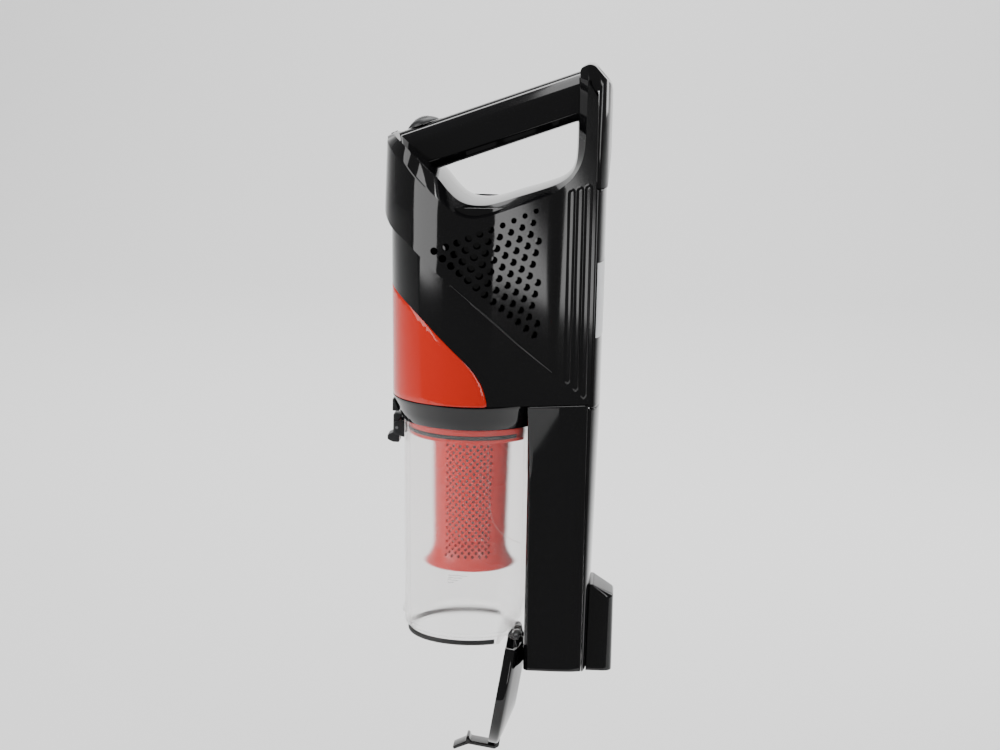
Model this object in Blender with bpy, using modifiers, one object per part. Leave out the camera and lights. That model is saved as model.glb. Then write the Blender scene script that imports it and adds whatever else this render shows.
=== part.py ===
# Cordless handheld vacuum: motor body with a grip loop, clear dust cup with a swing lid,
# suction nozzle along the back, battery behind a long cover, tube release at the nozzle end.
# Run with: blender --background --python part.py
import math

import bmesh
import bpy
from mathutils import Vector

MM = 0.001
GAP = 0.3  # clearance between touching pieces

# The grip's centre is the origin. Sizes are in millimetres from the cup's axis and a level
# just below the motor body, and the empty "vacuum_frame" carries them to the origin.
GRIP_X = 18.0
GRIP_Z = 162.0

# motor body
BODY_R = 51.9  # radius of the round front at level 0
BODY_TAPER = 0.018  # growth of that radius per mm of height
BODY_BOTTOM = -12.0
BODY_WALL = 4.8
SPINE_CREASE_X = 76.0  # where the flanks meet the back covers
SPINE_HALF = 28.5
SPINE_TOP = 199.0
SPINE_BACK = 84.6
COVER_WALL = 2.2
COVER_TOP = 123.0
COVER_BOTTOM = -14.5
COVER_BACK_TOP = 82.4
COVER_BACK_BOTTOM = 81.7
CAP_LEVEL = 183.0

# grip
LOOP_HALF = 33.0  # half depth of the loop's lower wall
LOOP_REAR_HALF = 21.0
BAR_HALF = 16.5
BAR_HEIGHT = 29.0
BAR_SLOPE = math.atan2(17.9, 49.6)
SLIDE_TRAVEL = 8.0  # of the power switch
STEM_FRONT = -57.5  # the switch stem's ends, along the bar from the grip's centre
STEM_REAR = -52.0

# cup and filter
COLLAR_BOTTOM = -28.0
CUP_TOP_R = 43.9
CUP_BOTTOM_R = 41.7
CUP_TOP = -28.4
CUP_SHOULDER = -163.4
CUP_LIP = -169.4
CUP_WALL = 1.8
CUP_BACK = 36.6  # flat back of the cup
SPIGOT_R = 37.6
CHORD_LOW_X = 21.6
CHORD_HIGH_X = 35.6
CHORD_HIGH_Z = -151.6
FILTER_TOP_R = 24.8
FILTER_LOW_R = 23.4
FILTER_FOOT_R = 29.0
FILTER_BOTTOM = -128.0
FLANGE_R = 40.4

LEVER_X = -47.7  # pivot of the cup latch
LEVER_Z = -34.5

# lid
PIN_X = 32.0
PIN_Z = -169.5
PIN_R = 1.25
LID_R = 43.6
LID_RIM_TOP = -163.8
LID_RIM_LOW = -169.6
LID_FLAT = -177.0
LID_FLAT_R = 16.5
LID_WALL = 1.9
LID_OPEN = math.radians(81.0)

# nozzle
NOZZLE_FRONT = 37.2
NOZZLE_HALF = 27.5
NOZZLE_CREASE_X = 74.4
NOZZLE_END = -187.5
NOZZLE_WALL = 2.4
NOZZLE_BACK_TOP = 81.6
NOZZLE_BACK_END = 77.6
DUCT_ROOF = -26.0
FLARE_LOW = -62.0
INLET_TOP = -38.0
INLET_BOTTOM = -62.0
INLET_HALF = 11.0

# tube release
POD_FRONT = 79.4
POD_BACK = 93.9
POD_HALF = 15.0
POD_TOP = -132.0
POD_TOP_BACK = -139.4
POD_BOTTOM = -189.5
POD_WALL = 2.2

# vents
VENT_R = 2.2
VENT_STEP = (5.05, -4.3)  # along the lower left edge
VENT_UP = (6.7, 2.8)  # along the upper edge
VENT_START = (-20.6, 84.6)
VENT_ROWS = 13

# segments round a turned piece
FINE = 40
ROUND = 28
INNER = 20

for old in list(bpy.data.objects):
    bpy.data.objects.remove(old)

parts = bpy.data.collections.new("handheld_vacuum")
cutters = bpy.data.collections.new("cutters")
bpy.context.scene.collection.children.link(parts)
bpy.context.scene.collection.children.link(cutters)

frame = bpy.data.objects.new("vacuum_frame", None)
frame.location = (-GRIP_X * MM, 0.0, -GRIP_Z * MM)
parts.objects.link(frame)


def material(name, colour, roughness, metallic=0.0, transmission=0.0):
    made = bpy.data.materials.new(name)
    made.use_nodes = True
    shader = made.node_tree.nodes["Principled BSDF"]
    shader.inputs["Base Color"].default_value = (*colour, 1.0)
    shader.inputs["Roughness"].default_value = roughness
    shader.inputs["Metallic"].default_value = metallic
    shader.inputs["Transmission Weight"].default_value = transmission
    return made


FINISHES = {
    "gloss_black": ((0.012, 0.012, 0.014), 0.12, 0.0, 0.0),
    "red": ((0.78, 0.05, 0.02), 0.15, 0.0, 0.0),
    "matte_grey": ((0.035, 0.036, 0.038), 0.5, 0.0, 0.0),
    "clear": ((0.86, 0.85, 0.84), 0.12, 0.0, 0.9),
    "filter_red": ((0.72, 0.06, 0.04), 0.4, 0.0, 0.0),
    "rubber": ((0.015, 0.015, 0.015), 0.7, 0.0, 0.0),
    "steel": ((0.6, 0.6, 0.62), 0.3, 1.0, 0.0),
    "aluminium": ((0.72, 0.72, 0.74), 0.35, 1.0, 0.0),
    "copper": ((0.72, 0.35, 0.18), 0.35, 1.0, 0.0),
    "board_green": ((0.02, 0.16, 0.06), 0.45, 0.0, 0.0),
    "cell_blue": ((0.03, 0.12, 0.42), 0.3, 0.0, 0.0),
    "paper": ((0.85, 0.85, 0.83), 0.6, 0.0, 0.0),
    "foam": ((0.08, 0.08, 0.085), 0.9, 0.0, 0.0),
    "pleated": ((0.88, 0.87, 0.82), 0.8, 0.0, 0.0),
}


def finish(obj, look):
    """Gives the object its own material."""
    obj.data.materials.clear()
    obj.data.materials.append(material(obj.name, *FINISHES[look]))
    return obj


def keep(obj, look):
    """Makes the object a sub-part in the vacuum's frame."""
    for holder in list(obj.users_collection):
        holder.objects.unlink(obj)
    parts.objects.link(obj)
    obj.parent = frame
    return finish(obj, look)


def helper(obj):
    """Makes the object a cutter."""
    for holder in list(obj.users_collection):
        holder.objects.unlink(obj)
    cutters.objects.link(obj)
    obj.parent = frame
    obj.hide_render = True
    obj.display_type = "WIRE"
    return obj


def boolean(obj, tool, operation="DIFFERENCE"):
    modifier = obj.modifiers.new(tool.name, "BOOLEAN")
    modifier.operation = operation
    modifier.object = tool
    return obj


def from_bmesh(name, shape):
    mesh = bpy.data.meshes.new(name)
    shape.to_mesh(mesh)
    shape.free()
    obj = bpy.data.objects.new(name, mesh)
    bpy.context.scene.collection.objects.link(obj)
    return obj


def smooth(obj, degrees=35.0):
    obj.data.shade_smooth()
    obj.data.set_sharp_from_angle(angle=math.radians(degrees))
    return obj


def box(name, low, high):
    """A box between two corners, made from a cube."""
    shape = bmesh.new()
    bmesh.ops.create_cube(shape, size=1.0)
    size = [(b - a) * MM for a, b in zip(low, high)]
    centre = [(b + a) / 2 * MM for a, b in zip(low, high)]
    bmesh.ops.scale(shape, vec=size, verts=shape.verts)
    bmesh.ops.translate(shape, vec=centre, verts=shape.verts)
    return from_bmesh(name, shape)


def rod(name, radius, start, end, sides=24):
    """A cylinder between two points."""
    start = Vector(start) * MM
    end = Vector(end) * MM
    shape = bmesh.new()
    bmesh.ops.create_cone(
        shape, cap_ends=True, segments=sides, radius1=radius * MM, radius2=radius * MM,
        depth=(end - start).length,
    )
    turn = Vector((0.0, 0.0, 1.0)).rotation_difference(end - start)
    bmesh.ops.rotate(shape, matrix=turn.to_matrix(), verts=shape.verts)
    bmesh.ops.translate(shape, vec=(start + end) / 2, verts=shape.verts)
    return smooth(from_bmesh(name, shape))


def cross_hole(name, radius, x, z, start, end):
    """A thin rod across the vacuum, for a pin's hole."""
    return rod(name, radius, (x, start, z), (x, end, z), 12)


def turned(name, profile, steps=FINE, centre_x=0.0):
    """Turns a closed profile of (radius, height) points about a vertical axis."""
    mesh = bpy.data.meshes.new(name)
    points = [(r * MM, 0.0, z * MM) for r, z in profile]
    closing = [] if profile[0][0] == 0.0 and profile[-1][0] == 0.0 else [(len(points) - 1, 0)]
    mesh.from_pydata(points, [(i, i + 1) for i in range(len(points) - 1)] + closing, [])
    obj = bpy.data.objects.new(name, mesh)
    bpy.context.scene.collection.objects.link(obj)
    obj.location = (centre_x * MM, 0.0, 0.0)
    screw = obj.modifiers.new("turn", "SCREW")
    screw.steps = steps
    screw.render_steps = steps
    screw.use_merge_vertices = True
    screw.merge_threshold = 0.00001
    screw.use_smooth_shade = True
    return obj


def ring(name, r_in, r_out, low, high, steps=ROUND, centre_x=0.0):
    return turned(name, [(r_out, high), (r_out, low), (r_in, low), (r_in, high)], steps, centre_x)


def plate(name, outline, start, end, axis="Y"):
    """A flat outline with depth: (x, z) points along Y, (x, y) along Z, or (y, z) along X."""
    curve = bpy.data.curves.new(name, "CURVE")
    curve.dimensions = "2D"
    curve.fill_mode = "BOTH"
    curve.extrude = abs(end - start) / 2 * MM
    spline = curve.splines.new("POLY")
    spline.points.add(len(outline) - 1)
    for point, (u, v) in zip(spline.points, outline):
        point.co = (u * MM, v * MM, 0.0, 1.0)
    spline.use_cyclic_u = True
    guide = bpy.data.objects.new(name, curve)
    bpy.context.scene.collection.objects.link(guide)
    middle = (start + end) / 2 * MM
    if axis == "Y":
        guide.rotation_euler = (math.pi / 2, 0.0, 0.0)
        guide.location = (0.0, middle, 0.0)
    elif axis == "X":
        guide.rotation_euler = (math.pi / 2, 0.0, math.pi / 2)
        guide.location = (middle, 0.0, 0.0)
    else:
        guide.location = (0.0, 0.0, middle)
    return solid_from_curve(guide)


def solid_from_curve(guide):
    """The welded mesh of a curve object, in place of the curve."""
    name = guide.name
    bpy.context.view_layer.update()
    graph = bpy.context.evaluated_depsgraph_get()
    mesh = bpy.data.meshes.new_from_object(guide.evaluated_get(graph))
    mesh.transform(guide.matrix_world)
    shape = bmesh.new()
    shape.from_mesh(mesh)
    bmesh.ops.remove_doubles(shape, verts=shape.verts, dist=1e-6)
    bmesh.ops.recalc_face_normals(shape, faces=shape.faces)
    bpy.data.objects.remove(guide)
    return from_bmesh(name, shape)


def tube(name, points, radius, spring=False):
    """A round wire along a list of points."""
    curve = bpy.data.curves.new(name, "CURVE")
    curve.dimensions = "3D"
    curve.bevel_depth = radius * MM
    curve.bevel_resolution = 1 if spring else 2
    curve.use_fill_caps = True
    spline = curve.splines.new("POLY")
    spline.points.add(len(points) - 1)
    for point, place in zip(spline.points, points):
        point.co = (*(c * MM for c in place), 1.0)
    guide = bpy.data.objects.new(name, curve)
    bpy.context.scene.collection.objects.link(guide)
    return smooth(solid_from_curve(guide))


def helix(centre, radius, length, turns, axis, per_turn=8):
    """Points of a coil that starts at the centre and runs along a unit axis."""
    axis = Vector(axis)
    side = axis.orthogonal().normalized()
    other = axis.cross(side)
    count = turns * per_turn
    places = []
    for i in range(count + 1):
        angle = math.tau * i / per_turn
        along = Vector(centre) + axis * (length * i / count)
        swing = side * math.cos(angle) + other * math.sin(angle)
        places.append(along + swing * radius)
    return places


def loft(name, rings):
    """Closed solid through outlines of equal length."""
    shape = bmesh.new()
    rows = [[shape.verts.new(Vector(p) * MM) for p in outline] for outline in rings]
    count = len(rows[0])
    for low, high in zip(rows, rows[1:]):
        for i in range(count):
            j = (i + 1) % count
            shape.faces.new((low[i], low[j], high[j], high[i]))
    shape.faces.new(rows[0])
    shape.faces.new(rows[-1])
    bmesh.ops.recalc_face_normals(shape, faces=shape.faces)
    bmesh.ops.triangulate(shape, faces=shape.faces)
    return smooth(from_bmesh(name, shape))


def union_of(name, pieces):
    """Joins overlapping helper solids into one."""
    first = pieces[0]
    for other in pieces[1:]:
        boolean(first, helper(other), "UNION")
    first.name = name
    return first


def body_radius(z):
    return BODY_R + BODY_TAPER * z


def flank_outline(z, inset=0.0, crease_x=SPINE_CREASE_X, half=SPINE_HALF, arc=14):
    """Level outline: a round front, tangent flanks and a straight back edge."""
    radius = body_radius(z) - inset
    corner = Vector((crease_x, half - inset))
    reach = math.acos(radius / corner.length)
    start = math.atan2(corner.y, corner.x) + reach
    angles = [start + (math.tau - 2 * start) * i / (2 * arc) for i in range(2 * arc + 1)]
    points = [(crease_x, corner.y, z)]
    points += [(radius * math.cos(a), radius * math.sin(a), z) for a in angles]
    points += [(crease_x, -corner.y, z)]
    return points


def back_outline(z, front_x, half, back_x, steps=12):
    """Rounded back cover section: straight front edge, elliptical back."""
    depth = back_x - front_x
    angles = [math.pi / 2 - math.pi * i / steps for i in range(steps + 1)]
    return [
        (front_x + depth * max(0.0, math.cos(a)) ** 0.8, half * math.sin(a), z) for a in angles
    ]


def arc_points(cx, cy, radius, start, end, count):
    """Points of an arc, with the angles in degrees."""
    step = (end - start) / count
    return [
        (
            cx + radius * math.cos(math.radians(start + step * i)),
            cy + radius * math.sin(math.radians(start + step * i)),
        )
        for i in range(count + 1)
    ]


# The air above the sloping shoulder and inside the grip loop, as (x, z) of its edge.
LOOP_EDGE = [
    (-62.0, 149.5), (-56.0, 151.0), (-49.0, 152.5), (-44.5, 149.0), (-20.5, 127.5),
    (-13.5, 119.0), (-7.5, 114.0), (-1.3, 111.8), (11.0, 111.8), (30.0, 118.0),
    (50.0, 124.6), (57.5, 128.5), (62.3, 134.5), (64.2, 142.0), (64.2, 230.0), (-62.0, 230.0),
]


def air_outline(y, lower, rear):
    """The loop's edge moved out by `lower` downwards and forwards and by `rear` to the rear."""
    places = []
    for x, z in LOOP_EDGE:
        slope = max(0.0, min(1.0, (160.0 - z) / 20.0))
        forward = max(0.0, min(1.0, (20.0 - x) / 60.0))
        aft = max(0.0, min(1.0, (x - 45.0) / 19.0))
        if z > 200.0:
            forward = 0.0
            aft = 1.0 if x > 0 else 0.0
        move_x = aft * rear - forward * lower * slope
        move_z = -(1.0 - 0.35 * forward) * lower * slope * (1.0 - aft * 0.5)
        places.append((x + move_x, y, z + move_z))
    return places


def air_cutter():
    """Cuts the shoulder and the loop, with its edge chamfered towards the flanks."""
    levels = (
        (-62.0, 29.0, 42.0), (-LOOP_HALF, 0.0, 12.0), (-LOOP_REAR_HALF, 0.0, 0.0),
        (LOOP_REAR_HALF, 0.0, 0.0), (LOOP_HALF, 0.0, 12.0), (62.0, 29.0, 42.0),
    )
    return helper(loft("air_cutter", [air_outline(*level) for level in levels]))


def vent_places():
    """Centres of the vent holes: rows that start on the lower edge and run up to the rear."""
    places = []
    for row in range(VENT_ROWS):
        x0 = VENT_START[0] + VENT_STEP[0] * row
        z0 = VENT_START[1] + VENT_STEP[1] * row
        for k in range(10):
            x = x0 + VENT_UP[0] * k
            z = z0 + VENT_UP[1] * k
            if x < 42.0:
                places.append((x, z))
    return places


def body_halves():
    """Two moulded halves with the loop, the side vents and the rear ribs."""
    levels = [BODY_BOTTOM, 30.0, 80.0, 125.0, 165.0, CAP_LEVEL - GAP]
    form = [flank_outline(z) for z in levels]
    room = [flank_outline(z, BODY_WALL, 71.0) for z in (BODY_BOTTOM - 7.0, 40.0, 122.0)]
    room_cutter = helper(loft("motor_room", room))
    spine_room = helper(box("spine_room", (52.0, -21.5, BODY_BOTTOM - 9.0), (84.0, 21.5, 124.0)))
    roof = [(-60.0, 131.0), (-20.0, 96.0), (60.0, 104.0), (60.0, 140.0), (-60.0, 140.0)]
    roof_cutter = helper(plate("roof_keep", roof, -80.0, 80.0))
    boolean(room_cutter, roof_cutter)
    air = air_cutter()
    panel_recess = recess_cutter()
    upper_room = helper(box("upper_room", (67.5, -18.0, 126.0), (84.0, 18.0, 180.0)))
    for side, name in ((-1, "body_shell_left"), (1, "body_shell_right")):
        shell = loft(name, form)
        for tool in (room_cutter, spine_room, upper_room, air, panel_recess):
            boolean(shell, tool)
        far = (-90.0, -GAP / 2, -40.0) if side < 0 else (-90.0, -70.0, -40.0)
        near = (100.0, 70.0, 240.0) if side < 0 else (100.0, GAP / 2, 240.0)
        boolean(shell, helper(box(name + "_split", far, near)))
        boolean(shell, vent_cutter(side))
        keep(shell, "gloss_black")


def vent_cutter(side):
    """All of one side's vent holes as one cutter."""
    shape = bmesh.new()
    for x, z in vent_places():
        made = bmesh.ops.create_cone(
            shape, cap_ends=True, segments=6, radius1=VENT_R * MM, radius2=VENT_R * MM,
            depth=40.0 * MM,
        )
        turn = Vector((0.0, 0.0, 1.0)).rotation_difference(Vector((0.0, 1.0, 0.0)))
        bmesh.ops.rotate(shape, matrix=turn.to_matrix(), verts=made["verts"])
        centre = Vector((x, side * 45.0, z)) * MM
        bmesh.ops.translate(shape, vec=centre, verts=made["verts"])
    return helper(from_bmesh("vents_" + ("left" if side < 0 else "right"), shape))


PANEL_EDGE = [(-70.0, 66.6), (-53.0, 52.9), (-22.0, 31.5), (8.0, 10.2), (12.5, 4.5), (14.2, -3.0)]


def panel_outline(extra):
    upper = [(x, z + extra) for x, z in PANEL_EDGE[:4]]
    rear = [(x + extra, z + extra * 0.5) for x, z in PANEL_EDGE[4:]]
    foot = BODY_BOTTOM - (5.0 if extra else 0.0)
    return upper + rear + [(14.6 + extra, foot), (-70.0, foot)]


def recess_cutter():
    """The pocket that the coloured front panel lies in."""
    high = 70.0
    low = BODY_BOTTOM - 5.0
    depth = 2.0 + GAP
    sector = ring_of_body("panel_recess", depth, -6.0, low, high)
    outline = helper(plate("panel_recess_outline", panel_outline(GAP), -70.0, 70.0))
    boolean(sector, outline, "INTERSECT")
    return helper(sector)


def ring_of_body(name, inner_inset, outer_inset, low, high, steps=FINE):
    """A ring that follows the body's round front."""
    profile = [
        (body_radius(high) - outer_inset, high), (body_radius(low) - outer_inset, low),
        (body_radius(low) - inner_inset, low), (body_radius(high) - inner_inset, high),
    ]
    return turned(name, profile, steps)


def front_panel():
    """The coloured panel round the lower front."""
    panel = ring_of_body("front_panel", 2.0, 0.0, BODY_BOTTOM, 68.0)
    boolean(panel, helper(plate("front_panel_outline", panel_outline(0.0), -70.0, 70.0)), "INTERSECT")
    keep(panel, "red")


def front_shroud():
    """The proud shoulder round the upper front. It thins out towards the flanks."""
    shift = 2.6
    profile = [
        (56.4 - shift, 156.0), (57.5 - shift, 107.1), (56.2 - shift, 96.4), (55.0 - shift, 60.0),
        (50.0, 60.0), (50.0, 156.0),
    ]
    shroud = turned("front_shroud", profile, FINE, -shift)
    core = ring_of_body("shroud_core", 30.0, -GAP, 50.0, 165.0)
    boolean(shroud, helper(core))
    edge = [
        (-70.0, 108.0), (-57.0, 106.5), (-52.0, 99.5), (-29.0, 82.5), (-14.0, 69.5),
        (-14.0, 117.0), (-20.5, 127.0), (-44.5, 148.5), (-49.0, 152.0), (-70.0, 147.0),
    ]
    boolean(shroud, helper(plate("front_shroud_outline", edge, -70.0, 70.0)), "INTERSECT")
    keep(shroud, "gloss_black")


def collar():
    """The tapered skirt between the motor body and the cup."""
    profile = [
        (51.0, BODY_BOTTOM - GAP), (50.3, BODY_BOTTOM - 1.5), (44.3, COLLAR_BOTTOM),
        (41.2, COLLAR_BOTTOM), (46.0, BODY_BOTTOM - GAP),
    ]
    skirt = turned("collar", profile, FINE)
    boolean(skirt, helper(box("collar_back", (30.0, -70.0, -60.0), (90.0, 70.0, 10.0))))
    keep(skirt, "gloss_black")


def grip():
    """The slanted grip bar, with its ends cut to the shoulder and the spine."""
    half = BAR_HALF
    h = BAR_HEIGHT / 2
    section = [
        (-half, -h + 6.0), (-half, h - 8.5), (-half + 4.5, h - 2.5), (-7.0, h), (7.0, h),
        (half - 4.5, h - 2.5), (half, h - 8.5), (half, -h + 6.0), (half - 4.0, -h + 1.0),
        (half - 9.0, -h), (-half + 9.0, -h), (-half + 4.0, -h + 1.0),
    ]
    room = [
        (-half + 3.0, -h + 7.0), (-half + 3.0, h - 9.0), (-8.0, h - 3.5), (8.0, h - 3.5),
        (half - 3.0, h - 9.0), (half - 3.0, -h + 7.0), (half - 6.0, -h + 3.0),
        (-half + 6.0, -h + 3.0),
    ]
    bar = along_bar("grip_bar", section, -75.0, 60.0)
    boolean(bar, helper(along_bar("grip_room", room, -90.0, 80.0)))
    shoulder = [
        (-120.0, 172.0), (-49.0, 153.0), (-44.3, 149.6), (-20.0, 128.1), (-8.0, 114.0), (-8.0, 60.0),
        (-120.0, 60.0),
    ]
    boolean(bar, helper(plate("grip_front_cut", shoulder, -40.0, 40.0)))
    boolean(bar, helper(box("grip_rear_cut", (64.2 - GAP, -40.0, 120.0), (120.0, 40.0, 240.0))))
    slot_end = STEM_REAR + SLIDE_TRAVEL + 6.0
    slot = along_bar(
        "switch_slot", [(-3.5, 5.0), (-3.5, 22.0), (3.5, 22.0), (3.5, 5.0)], STEM_FRONT - 2.0, slot_end
    )
    boolean(bar, helper(slot))
    keep(bar, "gloss_black")


def bar_point(along, across, up):
    """A point given along the bar from the grip's centre, across it and above its middle."""
    return (
        GRIP_X + along * math.cos(BAR_SLOPE) - up * math.sin(BAR_SLOPE),
        across,
        GRIP_Z + along * math.sin(BAR_SLOPE) + up * math.cos(BAR_SLOPE),
    )


def along_bar(name, section, start, end):
    return loft(name, [[bar_point(a, y, up) for y, up in section] for a in (start, end)])


def power_switch():
    """Ridged thumb slide on the bar's front end, and the switch block under it."""
    top = BAR_HEIGHT / 2
    cap = []
    for along, up, half in (
        (-60.5, top + 0.6, 3.0), (-58.0, top + 3.2, 6.0), (-53.0, top + 4.6, 7.5),
        (-46.0, top + 4.4, 7.5), (-41.5, top + 2.6, 5.5), (-39.5, top + 0.6, 2.5),
    ):
        cap.append([
            bar_point(along, -half, top + GAP), bar_point(along, -half * 0.7, up),
            bar_point(along, half * 0.7, up), bar_point(along, half, top + GAP),
        ])
    slide = loft("power_switch", cap)
    stem_section = [(-2.6, 6.5), (-2.6, top + 1.0), (2.6, top + 1.0), (2.6, 6.5)]
    stem = along_bar("switch_stem", stem_section, STEM_FRONT, STEM_REAR)
    boolean(slide, helper(stem), "UNION")
    keep(slide, "matte_grey")
    block_section = [(-6.0, -5.0), (-6.0, 5.8), (6.0, 5.8), (6.0, -5.0)]
    block = along_bar("switch_block", block_section, -62.0, -36.0)
    boolean(block, helper(bpy.data.objects["grip_front_cut"].copy()))
    keep(block, "matte_grey")


def covers():
    """The cover over the battery, the cap above it and the cover down the nozzle's back."""
    cover_levels = ((COVER_BOTTOM, COVER_BACK_BOTTOM), (COVER_TOP, COVER_BACK_TOP))
    back_shell("back_cover", cover_levels, SPINE_CREASE_X + GAP, SPINE_HALF - 1.0, "gloss_black")
    low_levels = ((NOZZLE_END, NOZZLE_BACK_END), (COVER_BOTTOM - GAP, NOZZLE_BACK_TOP))
    back_shell("nozzle_back", low_levels, NOZZLE_CREASE_X + GAP, NOZZLE_HALF - 0.5, "gloss_black")
    label_outline = [(-8.0, 30.0), (8.0, 30.0), (8.0, 77.0), (-8.0, 77.0)]
    label = plate("rating_plate", label_outline, 82.75, 83.15, "X")
    keep(label, "paper")


def back_shell(name, levels, front_x, half, look):
    outer = [back_outline(z, front_x, half, back) for z, back in levels]
    inner = [
        back_outline(z, front_x - 2.0, half - COVER_WALL, back - COVER_WALL)
        for z, back in ((levels[0][0] - 5.0, levels[0][1]), (levels[1][0] + 5.0, levels[1][1]))
    ]
    cover = loft(name, outer)
    boolean(cover, helper(loft(name + "_room", inner)))
    return keep(cover, look)


def top_cap():
    """The spine's upper back with the chamfer that holds the charging socket."""
    side = [
        (SPINE_CREASE_X + GAP, COVER_TOP + GAP), (83.0, COVER_TOP + GAP), (SPINE_BACK, 145.0),
        (SPINE_BACK, 182.0), (83.6, 186.9), (73.3, 198.3), (69.5, SPINE_TOP), (64.2, 196.3),
        (64.2, CAP_LEVEL), (SPINE_CREASE_X + GAP, CAP_LEVEL),
    ]
    cap = plate("top_cap", side, -40.0, 40.0)
    plan = [(64.0, -21.0), (70.0, -26.8)]
    plan += [(x, -y) for x, y, _ in back_outline(0.0, SPINE_CREASE_X, SPINE_HALF - 0.9, SPINE_BACK + 0.1)]
    plan += [(70.0, 26.8), (64.0, 21.0)]
    boolean(cap, helper(plate("top_cap_plan", plan, 100.0, 220.0, "Z")), "INTERSECT")
    slope = [(-60.0, 150.0), (-31.0, 150.0), (-22.0, 230.0), (-60.0, 230.0)]
    boolean(cap, helper(plate("cap_slope_left", slope, 40.0, 120.0, "X")))
    boolean(cap, helper(plate("cap_slope_right", [(-y, z) for y, z in slope], 40.0, 120.0, "X")))
    middle = Vector((78.45, 0.0, 192.6))
    out = Vector((11.4, 0.0, 10.3)).normalized()
    boolean(cap, helper(rod("socket_recess", 5.8, middle - out * 9.0, middle + out * 5.0)))
    keep(cap, "gloss_black")
    socket = rod("charging_socket", 5.5, middle - out * 8.6, middle - out * 1.2)
    boolean(socket, helper(rod("socket_hole", 2.9, middle - out * 6.5, middle + out * 2.0, 16)))
    boolean(socket, helper(rod("socket_pin", 0.9, middle - out * 7.0, middle - out * 2.0, 8)), "UNION")
    keep(socket, "matte_grey")


def flare_outline(z, front, front_half, crease_x, half):
    """Level outline of the flare between the flanks and the nozzle."""
    corner = 2.0
    slant = (front_half - half) / (crease_x - front)
    points = [(crease_x, half, z)]
    ring_points = [(front + corner, front_half - corner * slant, z), (front, front_half - corner * 0.4, z)]
    middle = [(front, front_half - corner, z), (front, front_half - corner * 1.6, z)]
    points += ring_points + middle
    mirrored = [(x, -y, z) for x, y, z in reversed(points)]
    return points + mirrored


def nozzle():
    """The suction nozzle: a flat fronted duct that flares out under the motor body."""
    sections = [
        (NOZZLE_END, NOZZLE_FRONT, NOZZLE_HALF, NOZZLE_HALF),
        (FLARE_LOW, NOZZLE_FRONT, NOZZLE_HALF, NOZZLE_HALF),
        (-48.0, NOZZLE_FRONT, 29.6, 27.7), (-36.0, NOZZLE_FRONT, 33.6, 28.0),
        (-26.0, NOZZLE_FRONT, 37.6, 28.3), (BODY_BOTTOM - GAP, NOZZLE_FRONT, 41.8, 28.8),
    ]
    rings = [flare_outline(z, f, fh, NOZZLE_CREASE_X, h) for z, f, fh, h in sections]
    duct = loft("nozzle_duct", rings)
    air = box(
        "duct_room", (NOZZLE_FRONT + NOZZLE_WALL, -NOZZLE_HALF + NOZZLE_WALL, NOZZLE_END - 10.0),
        (NOZZLE_CREASE_X - NOZZLE_WALL, NOZZLE_HALF - NOZZLE_WALL, DUCT_ROOF - 2.0),
    )
    boolean(duct, helper(air))
    inlet = box(
        "inlet_cut", (NOZZLE_FRONT - 20.0, -INLET_HALF, INLET_BOTTOM),
        (NOZZLE_FRONT + 10.0, INLET_HALF, INLET_TOP),
    )
    boolean(duct, helper(inlet))
    keep(duct, "gloss_black")


def chord_wedge(name, shift):
    """Everything behind the sloping plane at the cup's lower back."""
    run = Vector((CHORD_HIGH_X - CHORD_LOW_X, CHORD_HIGH_Z - CUP_LIP)).normalized()
    out = Vector((run.y, -run.x)) * shift
    low = Vector((CHORD_LOW_X, CUP_LIP)) + out - run * 20.0
    high = Vector((CHORD_HIGH_X, CHORD_HIGH_Z)) + out + run * 20.0
    outline = [(low.x, low.y), (high.x, high.y), (90.0, high.y), (90.0, low.y)]
    return helper(plate(name, outline, -60.0, 60.0))


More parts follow.
